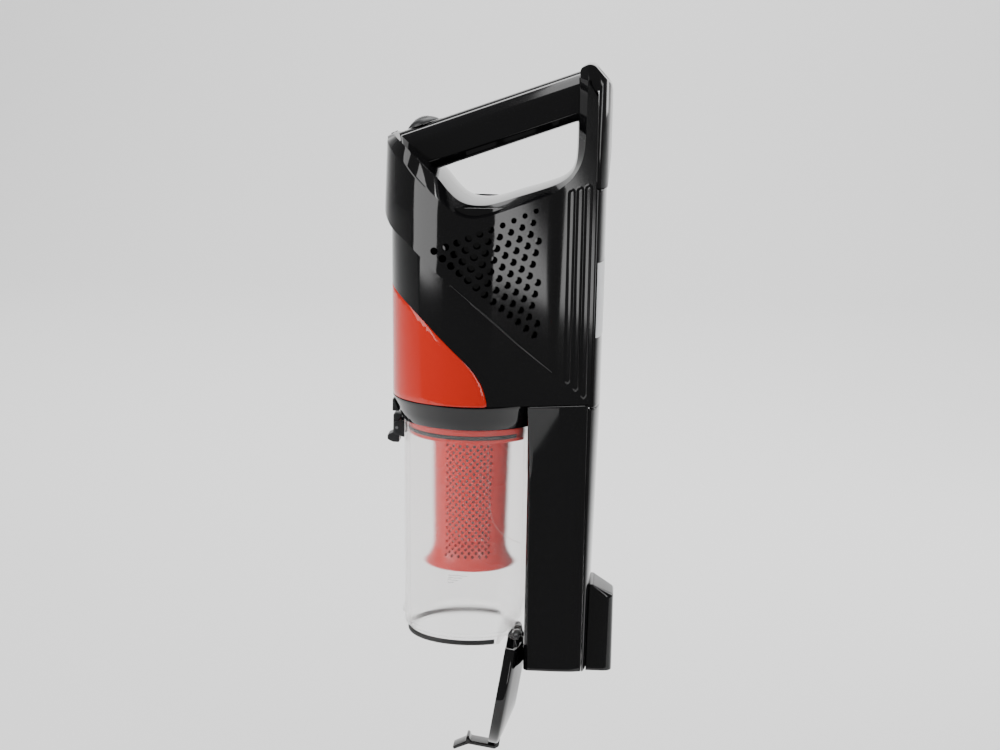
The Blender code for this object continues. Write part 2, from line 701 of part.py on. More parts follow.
def dust_cup():
    """Clear cup with a flat back, a sloping lower back and a spigot that the lid closes on."""
    outer = [
        (0.0, CUP_TOP), (CUP_TOP_R, CUP_TOP), (CUP_BOTTOM_R, CUP_SHOULDER + 2.0),
        (CUP_BOTTOM_R - 0.8, CUP_SHOULDER + 0.5), (CUP_BOTTOM_R - 2.0, CUP_SHOULDER),
        (SPIGOT_R, CUP_SHOULDER), (SPIGOT_R, CUP_LIP), (0.0, CUP_LIP),
    ]
    inner = [
        (0.0, CUP_TOP + 5.0), (CUP_TOP_R - CUP_WALL, CUP_TOP + 5.0), (CUP_TOP_R - CUP_WALL, CUP_TOP),
        (CUP_BOTTOM_R - CUP_WALL, CUP_SHOULDER + 5.0), (SPIGOT_R - 1.6, CUP_SHOULDER + 1.0),
        (SPIGOT_R - 1.6, CUP_LIP - 5.0), (0.0, CUP_LIP - 5.0),
    ]
    cup = turned("dust_cup", outer, FINE)
    boolean(cup, helper(box("cup_back", (CUP_BACK, -60.0, -200.0), (90.0, 60.0, 0.0))))
    boolean(cup, chord_wedge("cup_chord", 0.0))
    room = turned("cup_room", inner, FINE)
    room_back = box("cup_room_back", (CUP_BACK - CUP_WALL, -60.0, -200.0), (90.0, 60.0, 0.0))
    boolean(room, helper(room_back))
    boolean(room, chord_wedge("cup_room_chord", -CUP_WALL))
    boolean(cup, helper(room))
    ear = [
        (27.5, -160.0), (34.6, -160.0), (34.6, -170.5), (33.0, -172.0), (30.0, -172.0), (24.0, -168.5),
    ]
    bracket = [(-49.2, -31.5), (-43.0, -30.5), (-42.8, -40.0), (-49.2, -37.5)]
    for side in (-1, 1):
        lug = plate("cup_ear", ear, side * 9.0, side * 12.0)
        boolean(lug, helper(cross_hole("cup_ear_hole", PIN_R + 0.2, PIN_X, PIN_Z, side * 6.0, side * 15.0)))
        boolean(cup, helper(lug), "UNION")
        lever_lug = plate("lever_lug", bracket, side * 6.9, side * 8.9)
        boolean(lever_lug, helper(cross_hole("lug_hole", 1.2, LEVER_X, LEVER_Z, side * 5.0, side * 11.0)))
        boolean(cup, helper(lever_lug), "UNION")
    boolean(cup, bpy.data.objects["inlet_cut"])
    keep(cup, "clear")
    seal = ring("cup_seal", SPIGOT_R + GAP, SPIGOT_R + 1.4, -168.4, -165.4, FINE)
    boolean(seal, chord_wedge("seal_chord", -1.0))
    boolean(seal, helper(box("seal_gap", (19.0, -60.0, -175.0), (60.0, 60.0, -160.0))))
    keep(seal, "rubber")
    keep(rod("lid_pin", PIN_R, (PIN_X, -12.6, PIN_Z), (PIN_X, 12.6, PIN_Z), 16), "steel")


def about_pin(points):
    return [(x - PIN_X, z - PIN_Z) for x, z in points]


def dust_lid():
    """Dished lid, drawn closed with its origin on the hinge pin and turned open."""
    outer = [
        (0.0, LID_RIM_TOP), (LID_R, LID_RIM_TOP), (LID_R + 0.2, LID_RIM_LOW),
        (LID_FLAT_R, LID_FLAT), (0.0, LID_FLAT),
    ]
    inner = [
        (0.0, LID_RIM_TOP + 5.0), (LID_R - 1.8, LID_RIM_TOP + 5.0), (LID_R - 1.6, LID_RIM_LOW + 0.6),
        (LID_FLAT_R, LID_FLAT + LID_WALL), (0.0, LID_FLAT + LID_WALL),
    ]
    lid = turned("dust_lid", [(r, z - PIN_Z) for r, z in outer], FINE, -PIN_X)
    room = turned("lid_room", [(r, z - PIN_Z) for r, z in inner], FINE, -PIN_X)
    chord = box("lid_chord", (-3.0, -60.0, -40.0), (80.0, 60.0, 40.0))
    notch = box("lid_notch", (-8.5, -13.4, -3.4), (10.0, 13.4, 40.0))
    tab = about_pin([
        (-41.0, -168.8), (-45.5, -168.8), (-45.6, -152.5), (-43.0, -151.0), (-43.0, -149.3),
        (-46.6, -149.3), (-52.0, -141.5), (-53.6, -142.6), (-48.2, -151.5), (-48.2, -169.0),
        (-46.0, -171.5), (-41.0, -171.4),
    ])
    pieces = [plate("lid_tab", tab, -6.2, 6.2)]
    for side in (-1, 1):
        knuckle = rod("lid_knuckle", 3.0, (0.0, side * 3.2, 0.0), (0.0, side * 8.4, 0.0), 20)
        pieces.append(knuckle)
        arm = [(-11.7, -6.35), (-11.7, -2.9), (-1.6, 1.8), (1.4, -1.6), (-2.4, -4.8)]
        pieces.append(plate("lid_arm", arm, side * 3.4, side * 8.2))
    holes = rod("lid_pin_hole", PIN_R + 0.2, (0.0, -20.0, 0.0), (0.0, 20.0, 0.0), 16)
    helpers = [room, chord, notch, holes] + pieces
    boolean(lid, room)
    boolean(lid, chord)
    boolean(lid, notch)
    for piece in pieces:
        boolean(lid, piece, "UNION")
    boolean(lid, holes)
    keep(lid, "gloss_black")
    for tool in helpers:
        helper(tool)
    hang("lid_hinge", PIN_X, PIN_Z, -LID_OPEN, [lid] + helpers)


def hang(name, x, z, angle, pieces):
    """Hangs pieces drawn about a cross axis on an empty that lies on it."""
    pivot = bpy.data.objects.new(name, None)
    parts.objects.link(pivot)
    pivot.parent = frame
    pivot.location = (x * MM, 0.0, z * MM)
    pivot.rotation_euler = (0.0, angle, 0.0)
    for piece in pieces:
        piece.parent = pivot


def filter_pieces():
    """Filter flange with its o-ring, the perforated separator and the pleated element in it."""
    flange = [
        (FLANGE_R, -28.8), (FLANGE_R, -32.4), (FLANGE_R - 1.7, -32.4), (FLANGE_R - 1.7, -35.4),
        (FLANGE_R - 0.4, -35.4), (FLANGE_R - 0.4, -37.4), (20.5, -37.4), (20.5, -33.0),
        (33.0, -31.0), (33.0, -28.8),
    ]
    body = turned("filter_flange", flange, FINE)
    trim = helper(box("flange_back", (CUP_BACK - CUP_WALL - 0.6, -60.0, -60.0), (90.0, 60.0, 0.0)))
    boolean(body, trim)
    keep(body, "filter_red")
    seal = ring("flange_seal", FLANGE_R - 1.4, FLANGE_R + 0.5, -35.1, -32.7, ROUND)
    boolean(seal, trim)
    boolean(seal, helper(box("seal_open", (30.0, -60.0, -60.0), (90.0, 60.0, 0.0))))
    keep(seal, "rubber")
    wall = 1.6
    tube_profile = [
        (FILTER_TOP_R, -37.4 - GAP), (FILTER_LOW_R, -108.0), (FILTER_LOW_R + 1.8, -114.0),
        (FILTER_FOOT_R, -119.5), (FILTER_FOOT_R, -121.5), (25.0, -126.0), (12.0, FILTER_BOTTOM),
        (0.0, FILTER_BOTTOM), (0.0, FILTER_BOTTOM + wall), (12.0, FILTER_BOTTOM + wall),
        (24.0, -124.4), (26.6, -120.6), (FILTER_LOW_R, -115.6), (FILTER_LOW_R - wall, -109.0),
        (FILTER_TOP_R - wall, -37.4 - GAP),
    ]
    keep(turned("cyclone_filter", tube_profile, ROUND), "filter_red")
    element = [
        (19.4, -40.0), (19.4, -104.0), (0.0, -104.0), (0.0, -101.0), (13.0, -101.0), (13.0, -40.0),
    ]
    keep(turned("pleated_filter", element, INNER), "pleated")


def cup_latch():
    """Catch block on the collar and the sprung lever that holds the cup to it."""
    hook = [(-51.0, -16.4), (-49.6, -16.4), (-46.5, -24.3), (-51.0, -24.3)]
    keep(plate("cup_catch", hook, -6.0, 6.0), "matte_grey")
    side = [
        (-50.4, -26.3), (-45.0, -26.3), (-45.0, -28.6), (-46.3, -29.8), (-46.3, -44.7),
        (-50.4, -44.7), (-54.0, -43.0), (-54.0, -39.9), (-50.4, -38.3),
    ]
    about_pivot = [(x - LEVER_X, z - LEVER_Z) for x, z in side]
    lever = plate("cup_latch_lever", about_pivot, -6.4, 6.4)
    hole = helper(cross_hole("lever_hole", 1.2, 0.0, 0.0, -8.0, 8.0))
    boolean(lever, hole)
    keep(lever, "matte_grey")
    hang("latch_pivot", LEVER_X, LEVER_Z, 0.0, [lever, hole])
    keep(rod("latch_pin", 1.0, (LEVER_X, -9.4, LEVER_Z), (LEVER_X, 9.4, LEVER_Z), 12), "steel")


def tube_release():
    """Pod low on the nozzle's back with the button that frees the tube, its hook and spring."""
    side = [
        (POD_FRONT, POD_TOP), (POD_BACK, POD_TOP_BACK), (POD_BACK, POD_BOTTOM + 3.0),
        (POD_BACK - 3.0, POD_BOTTOM), (POD_FRONT - 1.3, POD_BOTTOM),
    ]
    pod = plate("latch_pod", side, -POD_HALF, POD_HALF)
    rounded = arc_points(POD_BACK - 5.0, POD_HALF - 5.0, 5.0, 90, 0, 5)
    plan = [(70.0, POD_HALF)] + rounded + [(x, -y) for x, y in reversed(rounded)] + [(70.0, -POD_HALF)]
    boolean(pod, helper(plate("pod_plan", plan, -210.0, -120.0, "Z")), "INTERSECT")
    half = POD_HALF - POD_WALL
    room = [(70.0, -145.0), (POD_BACK - POD_WALL, -145.0), (POD_BACK - POD_WALL, -186.0), (70.0, -186.0)]
    boolean(pod, helper(plate("pod_room", room, -half, half)))
    boolean(pod, helper(box("button_window", (85.0, -8.3, -176.3), (100.0, 8.3, -151.7))))
    keep(pod, "gloss_black")
    button = box("tube_release_button", (90.4, -8.0, -176.0), (93.6, 8.0, -152.0))
    flange = box("button_flange", (88.7, -10.0, -178.0), (91.2, 10.0, -150.0))
    boolean(button, helper(flange), "UNION")
    keep(button, "matte_grey")
    coil = helix((79.0, 0.0, -164.0), 3.2, 9.0, 5, (1.0, 0.0, 0.0))
    keep(tube("button_spring", coil, 0.35, True), "steel")


def motor():
    """Fan motor on the cup's axis: floor plate, shroud, can, bearings, rubbers and the rotor."""
    keep(ring("motor_floor", 21.0, 46.4, -11.6, -8.8), "gloss_black")
    shroud = [
        (18.0, -8.4), (18.0, -6.8), (38.0, -6.8), (40.4, -5.0), (40.4, 12.5), (29.5, 15.4),
        (27.2, 15.4), (27.2, 17.0), (30.0, 17.0), (42.0, 14.0), (42.0, -6.0), (40.0, -8.4),
    ]
    keep(turned("fan_shroud", shroud, ROUND), "aluminium")
    can = [
        (8.6, 66.0), (27.0, 66.0), (27.0, 17.4), (26.6, 17.4), (8.6, 17.4), (8.6, 19.4),
        (25.2, 19.4), (25.2, 64.2), (8.6, 64.2),
    ]
    keep(turned("motor_can", can, INNER), "steel")
    keep(ring("stator", 16.0, 24.9, 24.0, 60.0, INNER), "copper")
    keep(ring("bearing_lower", 2.6, 8.3, 15.0, 19.2, INNER), "steel")
    keep(ring("bearing_upper", 2.6, 8.3, 64.4, 68.4, INNER), "steel")
    keep(ring("motor_rubber_lower", 27.3, 31.5, 17.4, 23.0, INNER), "rubber")
    keep(ring("motor_rubber_upper", 27.3, 31.5, 58.0, 64.0, INNER), "rubber")
    keep(ring("motor_carrier", 31.8, 34.5, 17.4, 70.0, INNER), "matte_grey")
    rotor = [
        (0.0, 72.0), (2.5, 72.0), (2.5, 58.0), (15.2, 58.0), (15.2, 26.0), (2.5, 26.0),
        (2.5, 11.0), (7.0, 11.0), (7.0, 3.0), (2.5, 3.0), (2.5, -4.0), (0.0, -4.0),
    ]
    keep(turned("rotor_shaft", rotor, INNER), "steel")
    impeller = turned("impeller", [(38.6, 12.0), (38.6, 10.4), (7.3, 10.4), (7.3, 12.0)], ROUND)
    for i in range(9):
        blade = plate("blade", [(9.5, -1.0), (37.5, 3.5), (37.5, 11.0), (9.5, 11.0)], -0.8, 0.8)
        blade.rotation_euler = (0.0, 0.0, math.tau * i / 9)
        boolean(impeller, helper(blade), "UNION")
    keep(impeller, "aluminium")
    foam = ring("exhaust_filter", 36.0, 45.0, 27.0, 88.0)
    keep(foam, "foam")


def electronics():
    """Control board, battery holder with four cells, links and leads."""
    keep(box("control_board", (50.0, -19.0, 8.0), (51.6, 19.0, 92.0)), "board_green")
    holder = box("battery_holder", (55.0, -20.8, -8.0), (75.6, 20.8, 116.0))
    boolean(holder, helper(box("holder_room", (56.4, -19.4, -20.0), (90.0, 19.4, 130.0))))
    keep(holder, "matte_grey")
    number = 1
    for z in (-9.0, 57.5):
        for side in (-1, 1):
            cell = rod(
                f"battery_cell_{number}", 9.1, (66.2, side * 9.6, z), (66.2, side * 9.6, z + 65.0), 20
            )
            keep(cell, "cell_blue")
            number += 1
    keep(box("cell_link_top", (62.0, -14.0, 122.8), (70.0, 14.0, 123.2)), "steel")
    keep(box("cell_link_bottom", (62.0, -14.0, -9.8), (70.0, 14.0, -9.4)), "steel")
    lead = [
        (48.6, 6.0, 80.0), (44.0, 6.0, 92.0), (30.0, 5.0, 92.0), (20.0, 4.0, 84.0), (16.0, 4.0, 67.0),
    ]
    keep(tube("motor_lead", lead, 1.1), "rubber")


body_halves()
front_panel()
front_shroud()
collar()
grip()
power_switch()
covers()
top_cap()
nozzle()
dust_cup()
dust_lid()
filter_pieces()
cup_latch()
tube_release()
motor()
electronics()
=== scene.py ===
import math

import bmesh
import bpy
import numpy as np
from mathutils import Matrix, Vector
from mathutils.geometry import delaunay_2d_cdt
from mathutils.kdtree import KDTree


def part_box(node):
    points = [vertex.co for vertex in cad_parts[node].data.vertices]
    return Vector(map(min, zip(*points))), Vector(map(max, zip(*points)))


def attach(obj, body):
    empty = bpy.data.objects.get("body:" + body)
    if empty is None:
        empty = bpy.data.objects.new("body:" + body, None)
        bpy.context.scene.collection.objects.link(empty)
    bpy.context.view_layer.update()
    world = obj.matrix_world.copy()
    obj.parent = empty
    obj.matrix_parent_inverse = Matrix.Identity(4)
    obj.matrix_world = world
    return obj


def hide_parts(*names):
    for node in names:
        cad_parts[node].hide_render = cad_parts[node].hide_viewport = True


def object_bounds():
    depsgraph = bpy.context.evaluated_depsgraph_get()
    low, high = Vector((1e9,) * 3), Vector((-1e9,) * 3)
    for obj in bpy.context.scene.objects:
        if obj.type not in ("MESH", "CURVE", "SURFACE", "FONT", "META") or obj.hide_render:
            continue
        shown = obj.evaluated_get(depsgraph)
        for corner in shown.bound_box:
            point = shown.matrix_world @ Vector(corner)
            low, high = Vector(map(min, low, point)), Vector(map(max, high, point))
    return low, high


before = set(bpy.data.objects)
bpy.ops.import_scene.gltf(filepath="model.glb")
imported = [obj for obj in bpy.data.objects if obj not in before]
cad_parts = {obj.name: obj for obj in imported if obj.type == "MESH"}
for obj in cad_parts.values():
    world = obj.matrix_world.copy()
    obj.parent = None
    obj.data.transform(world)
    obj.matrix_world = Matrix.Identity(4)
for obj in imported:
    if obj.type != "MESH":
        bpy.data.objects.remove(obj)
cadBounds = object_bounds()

# Sizes below are millimetres from the dust cup's axis and from a level just under the
# motor body. The frame's own boxes say where that axis and that level are.
bodyBottomLevel = -12.0
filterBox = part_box("cyclone_filter")
axisX = (filterBox[0][0] + filterBox[1][0]) / 2
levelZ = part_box("front_panel")[0][2] - bodyBottomLevel / 1000
drawingOrigin = np.array([axisX, 0.0, levelZ])


def toFrame(points):
    return np.asarray(points, float) / 1000 + drawingOrigin


# The shape helpers give a part as its points and its faces.


def gridFaces(rows, columns, closeRows=False, closeColumns=False):
    # one quad per cell; a closed direction joins its last line to its first
    r = np.arange(rows if closeRows else rows - 1)[:, None]
    c = np.arange(columns if closeColumns else columns - 1)[None, :]
    r2 = (r + 1) % rows
    c2 = (c + 1) % columns
    quads = np.stack([r * columns + c, r * columns + c2, r2 * columns + c2, r2 * columns + c], -1)
    return quads.reshape(-1, 4).tolist()


def gridPart(points, closeRows=False, closeColumns=False, capStart=False, capEnd=False):
    rows, columns = points.shape[:2]
    faces = gridFaces(rows, columns, closeRows, closeColumns)
    if capStart:
        faces.append(list(range(columns)))
    if capEnd:
        faces.append(list(range((rows - 1) * columns, rows * columns))[::-1])
    return points.reshape(-1, 3), faces


def flatGrid(across, up):
    a, b = np.meshgrid(across, up)
    return np.stack([a.ravel(), b.ravel()], 1)


def curveThrough(knots, count):
    # Catmull-Rom curve: each stretch is the cubic set by its two ends and their neighbours
    k = np.asarray(knots, float)
    padded = np.vstack([2 * k[0] - k[1], k, 2 * k[-1] - k[-2]])
    t = np.linspace(0, len(k) - 1, count)
    i = np.minimum(t.astype(int), len(k) - 2)
    f = (t - i)[:, None]
    a, b, c, d = padded[i], padded[i + 1], padded[i + 2], padded[i + 3]
    cubic = (3 * b - a - 3 * c + d) * f**3 + (2 * a - 5 * b + 4 * c - d) * f**2
    return 0.5 * (cubic + (c - a) * f + 2 * b)


def smoothStep(value):
    # 0 below 0, 1 above 1, and 3t^2 - 2t^3 between
    t = np.clip(value, 0, 1)
    return t * t * (3 - 2 * t)


def roundCorners(points, radius, steps=4):
    # each corner becomes a quadratic arc between the two places at "radius" from it
    p = np.asarray(points, float)
    before = np.roll(p, 1, 0) - p
    after = np.roll(p, -1, 0) - p
    lengthBefore = np.linalg.norm(before, axis=1, keepdims=True)
    lengthAfter = np.linalg.norm(after, axis=1, keepdims=True)
    reach = np.minimum(np.broadcast_to(np.reshape(radius, (-1, 1)), lengthBefore.shape),
                       0.45 * np.minimum(lengthBefore, lengthAfter))
    start = p + before / lengthBefore * reach
    end = p + after / lengthAfter * reach
    t = np.linspace(0, 1, steps + 1)[None, :, None]
    arcs = (1 - t) ** 2 * start[:, None] + 2 * t * (1 - t) * p[:, None] + t**2 * end[:, None]
    return arcs.reshape(-1, 2)


def outwardNormals(outline):
    # the normal at a point is the chord between its neighbours turned a quarter
    chord = np.roll(outline, -1, 0) - np.roll(outline, 1, 0)
    normal = np.stack([chord[:, 1], -chord[:, 0]], 1)
    normal /= np.maximum(np.linalg.norm(normal, axis=1, keepdims=True), 1e-9)
    x, y = outline[:, 0], outline[:, 1]
    area = np.sum(x * np.roll(y, -1) - y * np.roll(x, -1))
    return normal if area > 0 else -normal


def roundedRows(start, end, edge, steps=4):
    # places along the depth with their inset: a quarter circle at each end
    angle = np.linspace(0, math.pi / 2, steps + 1)
    inset = edge * (1 - np.sin(angle))
    away = edge * (1 - np.cos(angle))
    sign = 1.0 if end > start else -1.0
    first = [(start + sign * a, i) for a, i in zip(away, inset)]
    last = [(end - sign * a, i) for a, i in zip(away[::-1], inset[::-1])]
    return first + last


def platePart(outline, start, end, edge=0.5, axis="Y", corner=0.6):
    # an outline carried straight along one axis, with rounded rims
    line = roundCorners(outline, corner)
    normal = outwardNormals(line)
    rows = []
    for along, inset in roundedRows(start, end, edge):
        moved = line - normal * inset
        depth = np.full((len(moved), 1), along)
        if axis == "Y":
            rows.append(np.hstack([moved[:, :1], depth, moved[:, 1:]]))
        elif axis == "Z":
            rows.append(np.hstack([moved, depth]))
        else:
            rows.append(np.hstack([depth, moved]))
    return gridPart(np.array(rows), closeColumns=True, capStart=True, capEnd=True)


def turnedPart(profile, steps=96):
    # radius and height turned about a vertical axis
    path = np.asarray(profile, float)
    angle = np.linspace(0, 2 * math.pi, steps, endpoint=False)
    ring = np.stack([np.cos(angle), np.sin(angle)], 1)
    points = np.empty((len(path), steps, 3))
    points[..., 0] = path[:, :1] * ring[:, 0]
    points[..., 1] = path[:, :1] * ring[:, 1]
    points[..., 2] = path[:, 1:2]
    return gridPart(points, closeRows=True, closeColumns=True)


def trimmedPart(path, arcSteps=72, flatSteps=18):
    # rows of (radius, height, back): a circle cut off by the plane x = back
    path = np.asarray(path, float)
    radius, height, back = path[:, :1], path[:, 1:2], path[:, 2:3]
    corner = np.arccos(np.clip(back / np.maximum(radius, 1e-6), -1, 1))
    share = np.linspace(0, 1, arcSteps + 1)[None]
    angle = corner + (2 * math.pi - 2 * corner) * share
    arc = np.stack([radius * np.cos(angle), radius * np.sin(angle)], -1)
    across = np.linspace(-1, 1, flatSteps + 1)[None, 1:-1]
    flatY = radius * np.sin(corner) * across
    flatX = np.minimum(radius, back) * np.ones_like(flatY)
    level = np.concatenate([arc, np.stack([flatX, flatY], -1)], 1)
    points = np.concatenate([level, np.broadcast_to(height[..., None], level.shape[:2] + (1,))], 2)
    return gridPart(points, closeRows=True, closeColumns=True)


def tubePart(centres, radius, sides=10):
    # a circle carried along a path, square to the path's own direction
    path = np.asarray(centres, float)
    ahead = np.gradient(path, axis=0)
    ahead /= np.linalg.norm(ahead, axis=1, keepdims=True)
    helper = np.where(np.abs(ahead[:, 2:3]) > 0.9, [[1.0, 0.0, 0.0]], [[0.0, 0.0, 1.0]])
    side = np.cross(ahead, helper)
    side /= np.linalg.norm(side, axis=1, keepdims=True)
    up = np.cross(side, ahead)
    angle = np.linspace(0, 2 * math.pi, sides, endpoint=False)[None, :, None]
    points = path[:, None] + radius * (np.cos(angle) * side[:, None] + np.sin(angle) * up[:, None])
    return gridPart(points, closeColumns=True, capStart=True, capEnd=True)


def insideOutline(points, outline):
    # counts how often a ray to the right crosses the outline
    x, y = points[:, 0:1], points[:, 1:2]
    x1, y1 = outline[None, :, 0], outline[None, :, 1]
    x2, y2 = np.roll(x1, -1, 1), np.roll(y1, -1, 1)
    crosses = (y1 > y) != (y2 > y)
    level = np.where(y2 == y1, 1.0, y2 - y1)
    return (np.sum(crosses & (x < x1 + (y - y1) * (x2 - x1) / level), axis=1) % 2) == 1


def sheetPart(outline, holes, lines, spread, clearance, surface):
    # fills a flat outline with triangles that keep to its holes and crease lines, then
    # bends the flat sheet with "surface". "spread" holds the loose points between them.
    loops = [np.asarray(outline)] + [np.asarray(h) for h in holes]
    fixed = loops + [np.asarray(line) for line in lines]
    starts = np.cumsum([0] + [len(f) for f in fixed])
    edges = []
    for number, part in enumerate(fixed):
        index = np.arange(len(part)) + starts[number]
        pairs = np.stack([index, np.roll(index, -1)], 1)
        edges += (pairs if number < len(loops) else pairs[:-1]).tolist()
    points = np.vstack(fixed)
    tree = KDTree(len(points))
    for number, point in enumerate(points):
        tree.insert((point[0], point[1], 0.0), number)
    tree.balance()
    loose = [p for p in spread if tree.find((p[0], p[1], 0.0))[2] > clearance]
    loose = np.asarray(loose).reshape(-1, 2)
    loose = loose[insideOutline(loose, loops[0])]
    for hole in holes:
        centre = hole.mean(0)
        reach = np.linalg.norm(hole - centre, axis=1).max() + 0.3
        loose = loose[np.linalg.norm(loose - centre, axis=1) > reach]
    flat = [Vector(p) for p in np.vstack([points, loose])]
    made = delaunay_2d_cdt(flat, edges, [], 0, 1e-6)
    corners = np.array([tuple(v) for v in made[0]])
    faces = np.array([f for f in made[2] if len(f) == 3])
    middle = corners[faces].mean(1)
    keep = insideOutline(middle, loops[0])
    if holes:
        centres = np.array([h.mean(0) for h in holes])
        reach = np.array([np.linalg.norm(h - h.mean(0), axis=1).max() for h in holes])
        gaps = np.linalg.norm(middle[:, None] - centres[None], axis=2)
        keep &= ~(gaps < reach[None] * 0.97).any(1)
    return surface(corners), faces[keep].tolist()


# From here on the helpers make objects and put them in the frame.


def joined(parts):
    points = np.vstack([p for p, _ in parts])
    faces = []
    base = 0
    for p, f in parts:
        faces += [[i + base for i in face] for face in f]
        base += len(p)
    return points, faces


def makeMesh(name, parts, weld=0.01):
    points, faces = joined(parts)
    mesh = bpy.data.meshes.new(name)
    mesh.from_pydata(toFrame(points).tolist(), [], faces)
    shape = bmesh.new()
    shape.from_mesh(mesh)
    bmesh.ops.remove_doubles(shape, verts=shape.verts, dist=weld / 1000)
    wires = [e for e in shape.edges if not e.link_faces]
    bmesh.ops.delete(shape, geom=wires, context="EDGES")
    lone = [v for v in shape.verts if not v.link_faces]
    bmesh.ops.delete(shape, geom=lone, context="VERTS")
    bmesh.ops.recalc_face_normals(shape, faces=shape.faces)
    shape.to_mesh(mesh)
    shape.free()
    piece = bpy.data.objects.new(name, mesh)
    bpy.context.scene.collection.objects.link(piece)
    return piece


def faceAwayFrom(piece, inside):
    # turns an open sheet round if its faces look towards a point on its inner side
    mesh = piece.data
    count = len(mesh.polygons)
    normals = np.empty(count * 3)
    centres = np.empty(count * 3)
    mesh.polygons.foreach_get("normal", normals)
    mesh.polygons.foreach_get("center", centres)
    away = centres.reshape(-1, 3) - toFrame(inside)
    if (normals.reshape(-1, 3) * away).sum() < 0:
        mesh.flip_normals()


def settle(piece):
    # replaces the piece's mesh by what its modifiers make of it
    bpy.context.view_layer.update()
    graph = bpy.context.evaluated_depsgraph_get()
    mesh = bpy.data.meshes.new_from_object(piece.evaluated_get(graph))
    piece.modifiers.clear()
    piece.data = mesh


def thicken(piece, depth, inside):
    faceAwayFrom(piece, inside)
    solid = piece.modifiers.new("wall", "SOLIDIFY")
    solid.thickness = depth / 1000
    solid.offset = -1.0
    solid.use_rim = True
    settle(piece)


def cutAway(piece, tools, operation="DIFFERENCE"):
    for tool in tools:
        cut = piece.modifiers.new("cut", "BOOLEAN")
        cut.operation = operation
        cut.solver = "EXACT"
        cut.object = tool
    settle(piece)
    for tool in tools:
        bpy.data.objects.remove(tool)


def wear(mesh, look):
    mesh.materials.clear()
    mesh.materials.append(look)


def finishPiece(piece, look, body, nodes=(), slot=None, sharp=None):
    mesh = piece.data
    wear(mesh, look)
    mesh.shade_smooth()
    if sharp:
        mesh.set_sharp_from_angle(angle=math.radians(sharp))
    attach(piece, body)
    if nodes:
        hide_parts(*nodes)
    slot or nodes[0]
    return piece


def piece(name, parts, look, body, nodes=(), slot=None, sharp=None):
    return finishPiece(makeMesh(name, parts), look, body, nodes, slot, sharp)


def arcPart(profile, backs, steps=110):
    # a closed profile of radius and height swept round the front, stopped at a plane x = back
    path = np.asarray(profile, float)
    corner = np.arccos(np.clip(np.broadcast_to(backs, len(path)) / path[:, 0], -1, 1))[:, None]
    angle = corner + (2 * math.pi - 2 * corner) * np.linspace(0, 1, steps)[None]
    radius = path[:, :1]
    heights = np.broadcast_to(path[:, 1:2], angle.shape)
    points = np.stack([radius * np.cos(angle), radius * np.sin(angle), heights], -1)
    points, faces = gridPart(points, closeRows=True)
    first = list(range(0, len(path) * steps, steps))
    faces.append(first)
    faces.append([i + steps - 1 for i in first][::-1])
    return points, faces


def loftPart(outlineAt, start, end, edge=0.6, middle=()):
    # level outlines joined from one height to another, with rounded rims
    rows = []
    levelsAt = roundedRows(start, end, edge)
    half = len(levelsAt) // 2
    levelsAt = levelsAt[:half] + [(z, 0.0) for z in middle] + levelsAt[half:]
    for z, inset in levelsAt:
        line = outlineAt(z)
        line = line - outwardNormals(line) * inset
        rows.append(np.hstack([line, np.full((len(line), 1), z)]))
    return gridPart(np.array(rows), closeColumns=True, capStart=True, capEnd=True)


def boxPart(low, high):
    corners = [(low[0], low[1]), (high[0], low[1]), (high[0], high[1]), (low[0], high[1])]
    rows = [np.hstack([np.array(corners, float), np.full((4, 1), z)]) for z in (low[2], high[2])]
    return gridPart(np.array(rows), closeColumns=True, capStart=True, capEnd=True)


def aimedPart(profile, centre, direction, steps=48, closed=False):
    # radius and distance turned about any axis through a point
    path = np.asarray(profile, float)
    ahead = np.asarray(direction, float) / np.linalg.norm(direction)
    side = np.cross(ahead, (0.0, 1.0, 0.0) if abs(ahead[1]) < 0.9 else (1.0, 0.0, 0.0))
    side /= np.linalg.norm(side)
    other = np.cross(ahead, side)
    angle = np.linspace(0, 2 * math.pi, steps, endpoint=False)[None, :, None]
    radius = path[:, 0][:, None, None]
    along = path[:, 1][:, None, None]
    points = np.asarray(centre) + along * ahead + radius * (np.cos(angle) * side + np.sin(angle) * other)
    return gridPart(points, closeRows=closed, closeColumns=True, capStart=not closed, capEnd=not closed)


def turnAbout(points, x, z, degrees):
    # turns about a cross axis: positive carries up towards +x
    angle = math.radians(degrees)
    px, pz = points[:, 0] - x, points[:, 2] - z
    moved = points.copy()
    moved[:, 0] = x + px * math.cos(angle) + pz * math.sin(angle)
    moved[:, 2] = z - px * math.sin(angle) + pz * math.cos(angle)
    return moved


def softenEdges(piece, width, segments=3, angle=30.0):
    bevel = piece.modifiers.new("edges", "BEVEL")
    bevel.width = width / 1000
    bevel.segments = segments
    bevel.limit_method = "ANGLE"
    bevel.angle_limit = math.radians(angle)
    settle(piece)


def mergeInto(piece, other):
    both = bmesh.new()
    both.from_mesh(piece.data)
    both.from_mesh(other.data)
    both.to_mesh(piece.data)
    both.free()
    bpy.data.objects.remove(other)


print("frame loaded, helpers ready")

# materials: one group for moulded plastic and one for waves


def group(name, inputs, outputs):
    tree = bpy.data.node_groups.new(name, "ShaderNodeTree")
    for label, kind, value in inputs:
        socket = tree.interface.new_socket(label, in_out="INPUT", socket_type=kind)
        socket.default_value = value
    for label, kind in outputs:
        tree.interface.new_socket(label, in_out="OUTPUT", socket_type=kind)
    return tree, tree.nodes.new("NodeGroupInput"), tree.nodes.new("NodeGroupOutput")


def feed(tree, socket, value):
    # a number goes into the socket itself, and anything else is linked to it
    if isinstance(value, (int, float)):
        socket.default_value = value
    else:
        tree.links.new(value, socket)


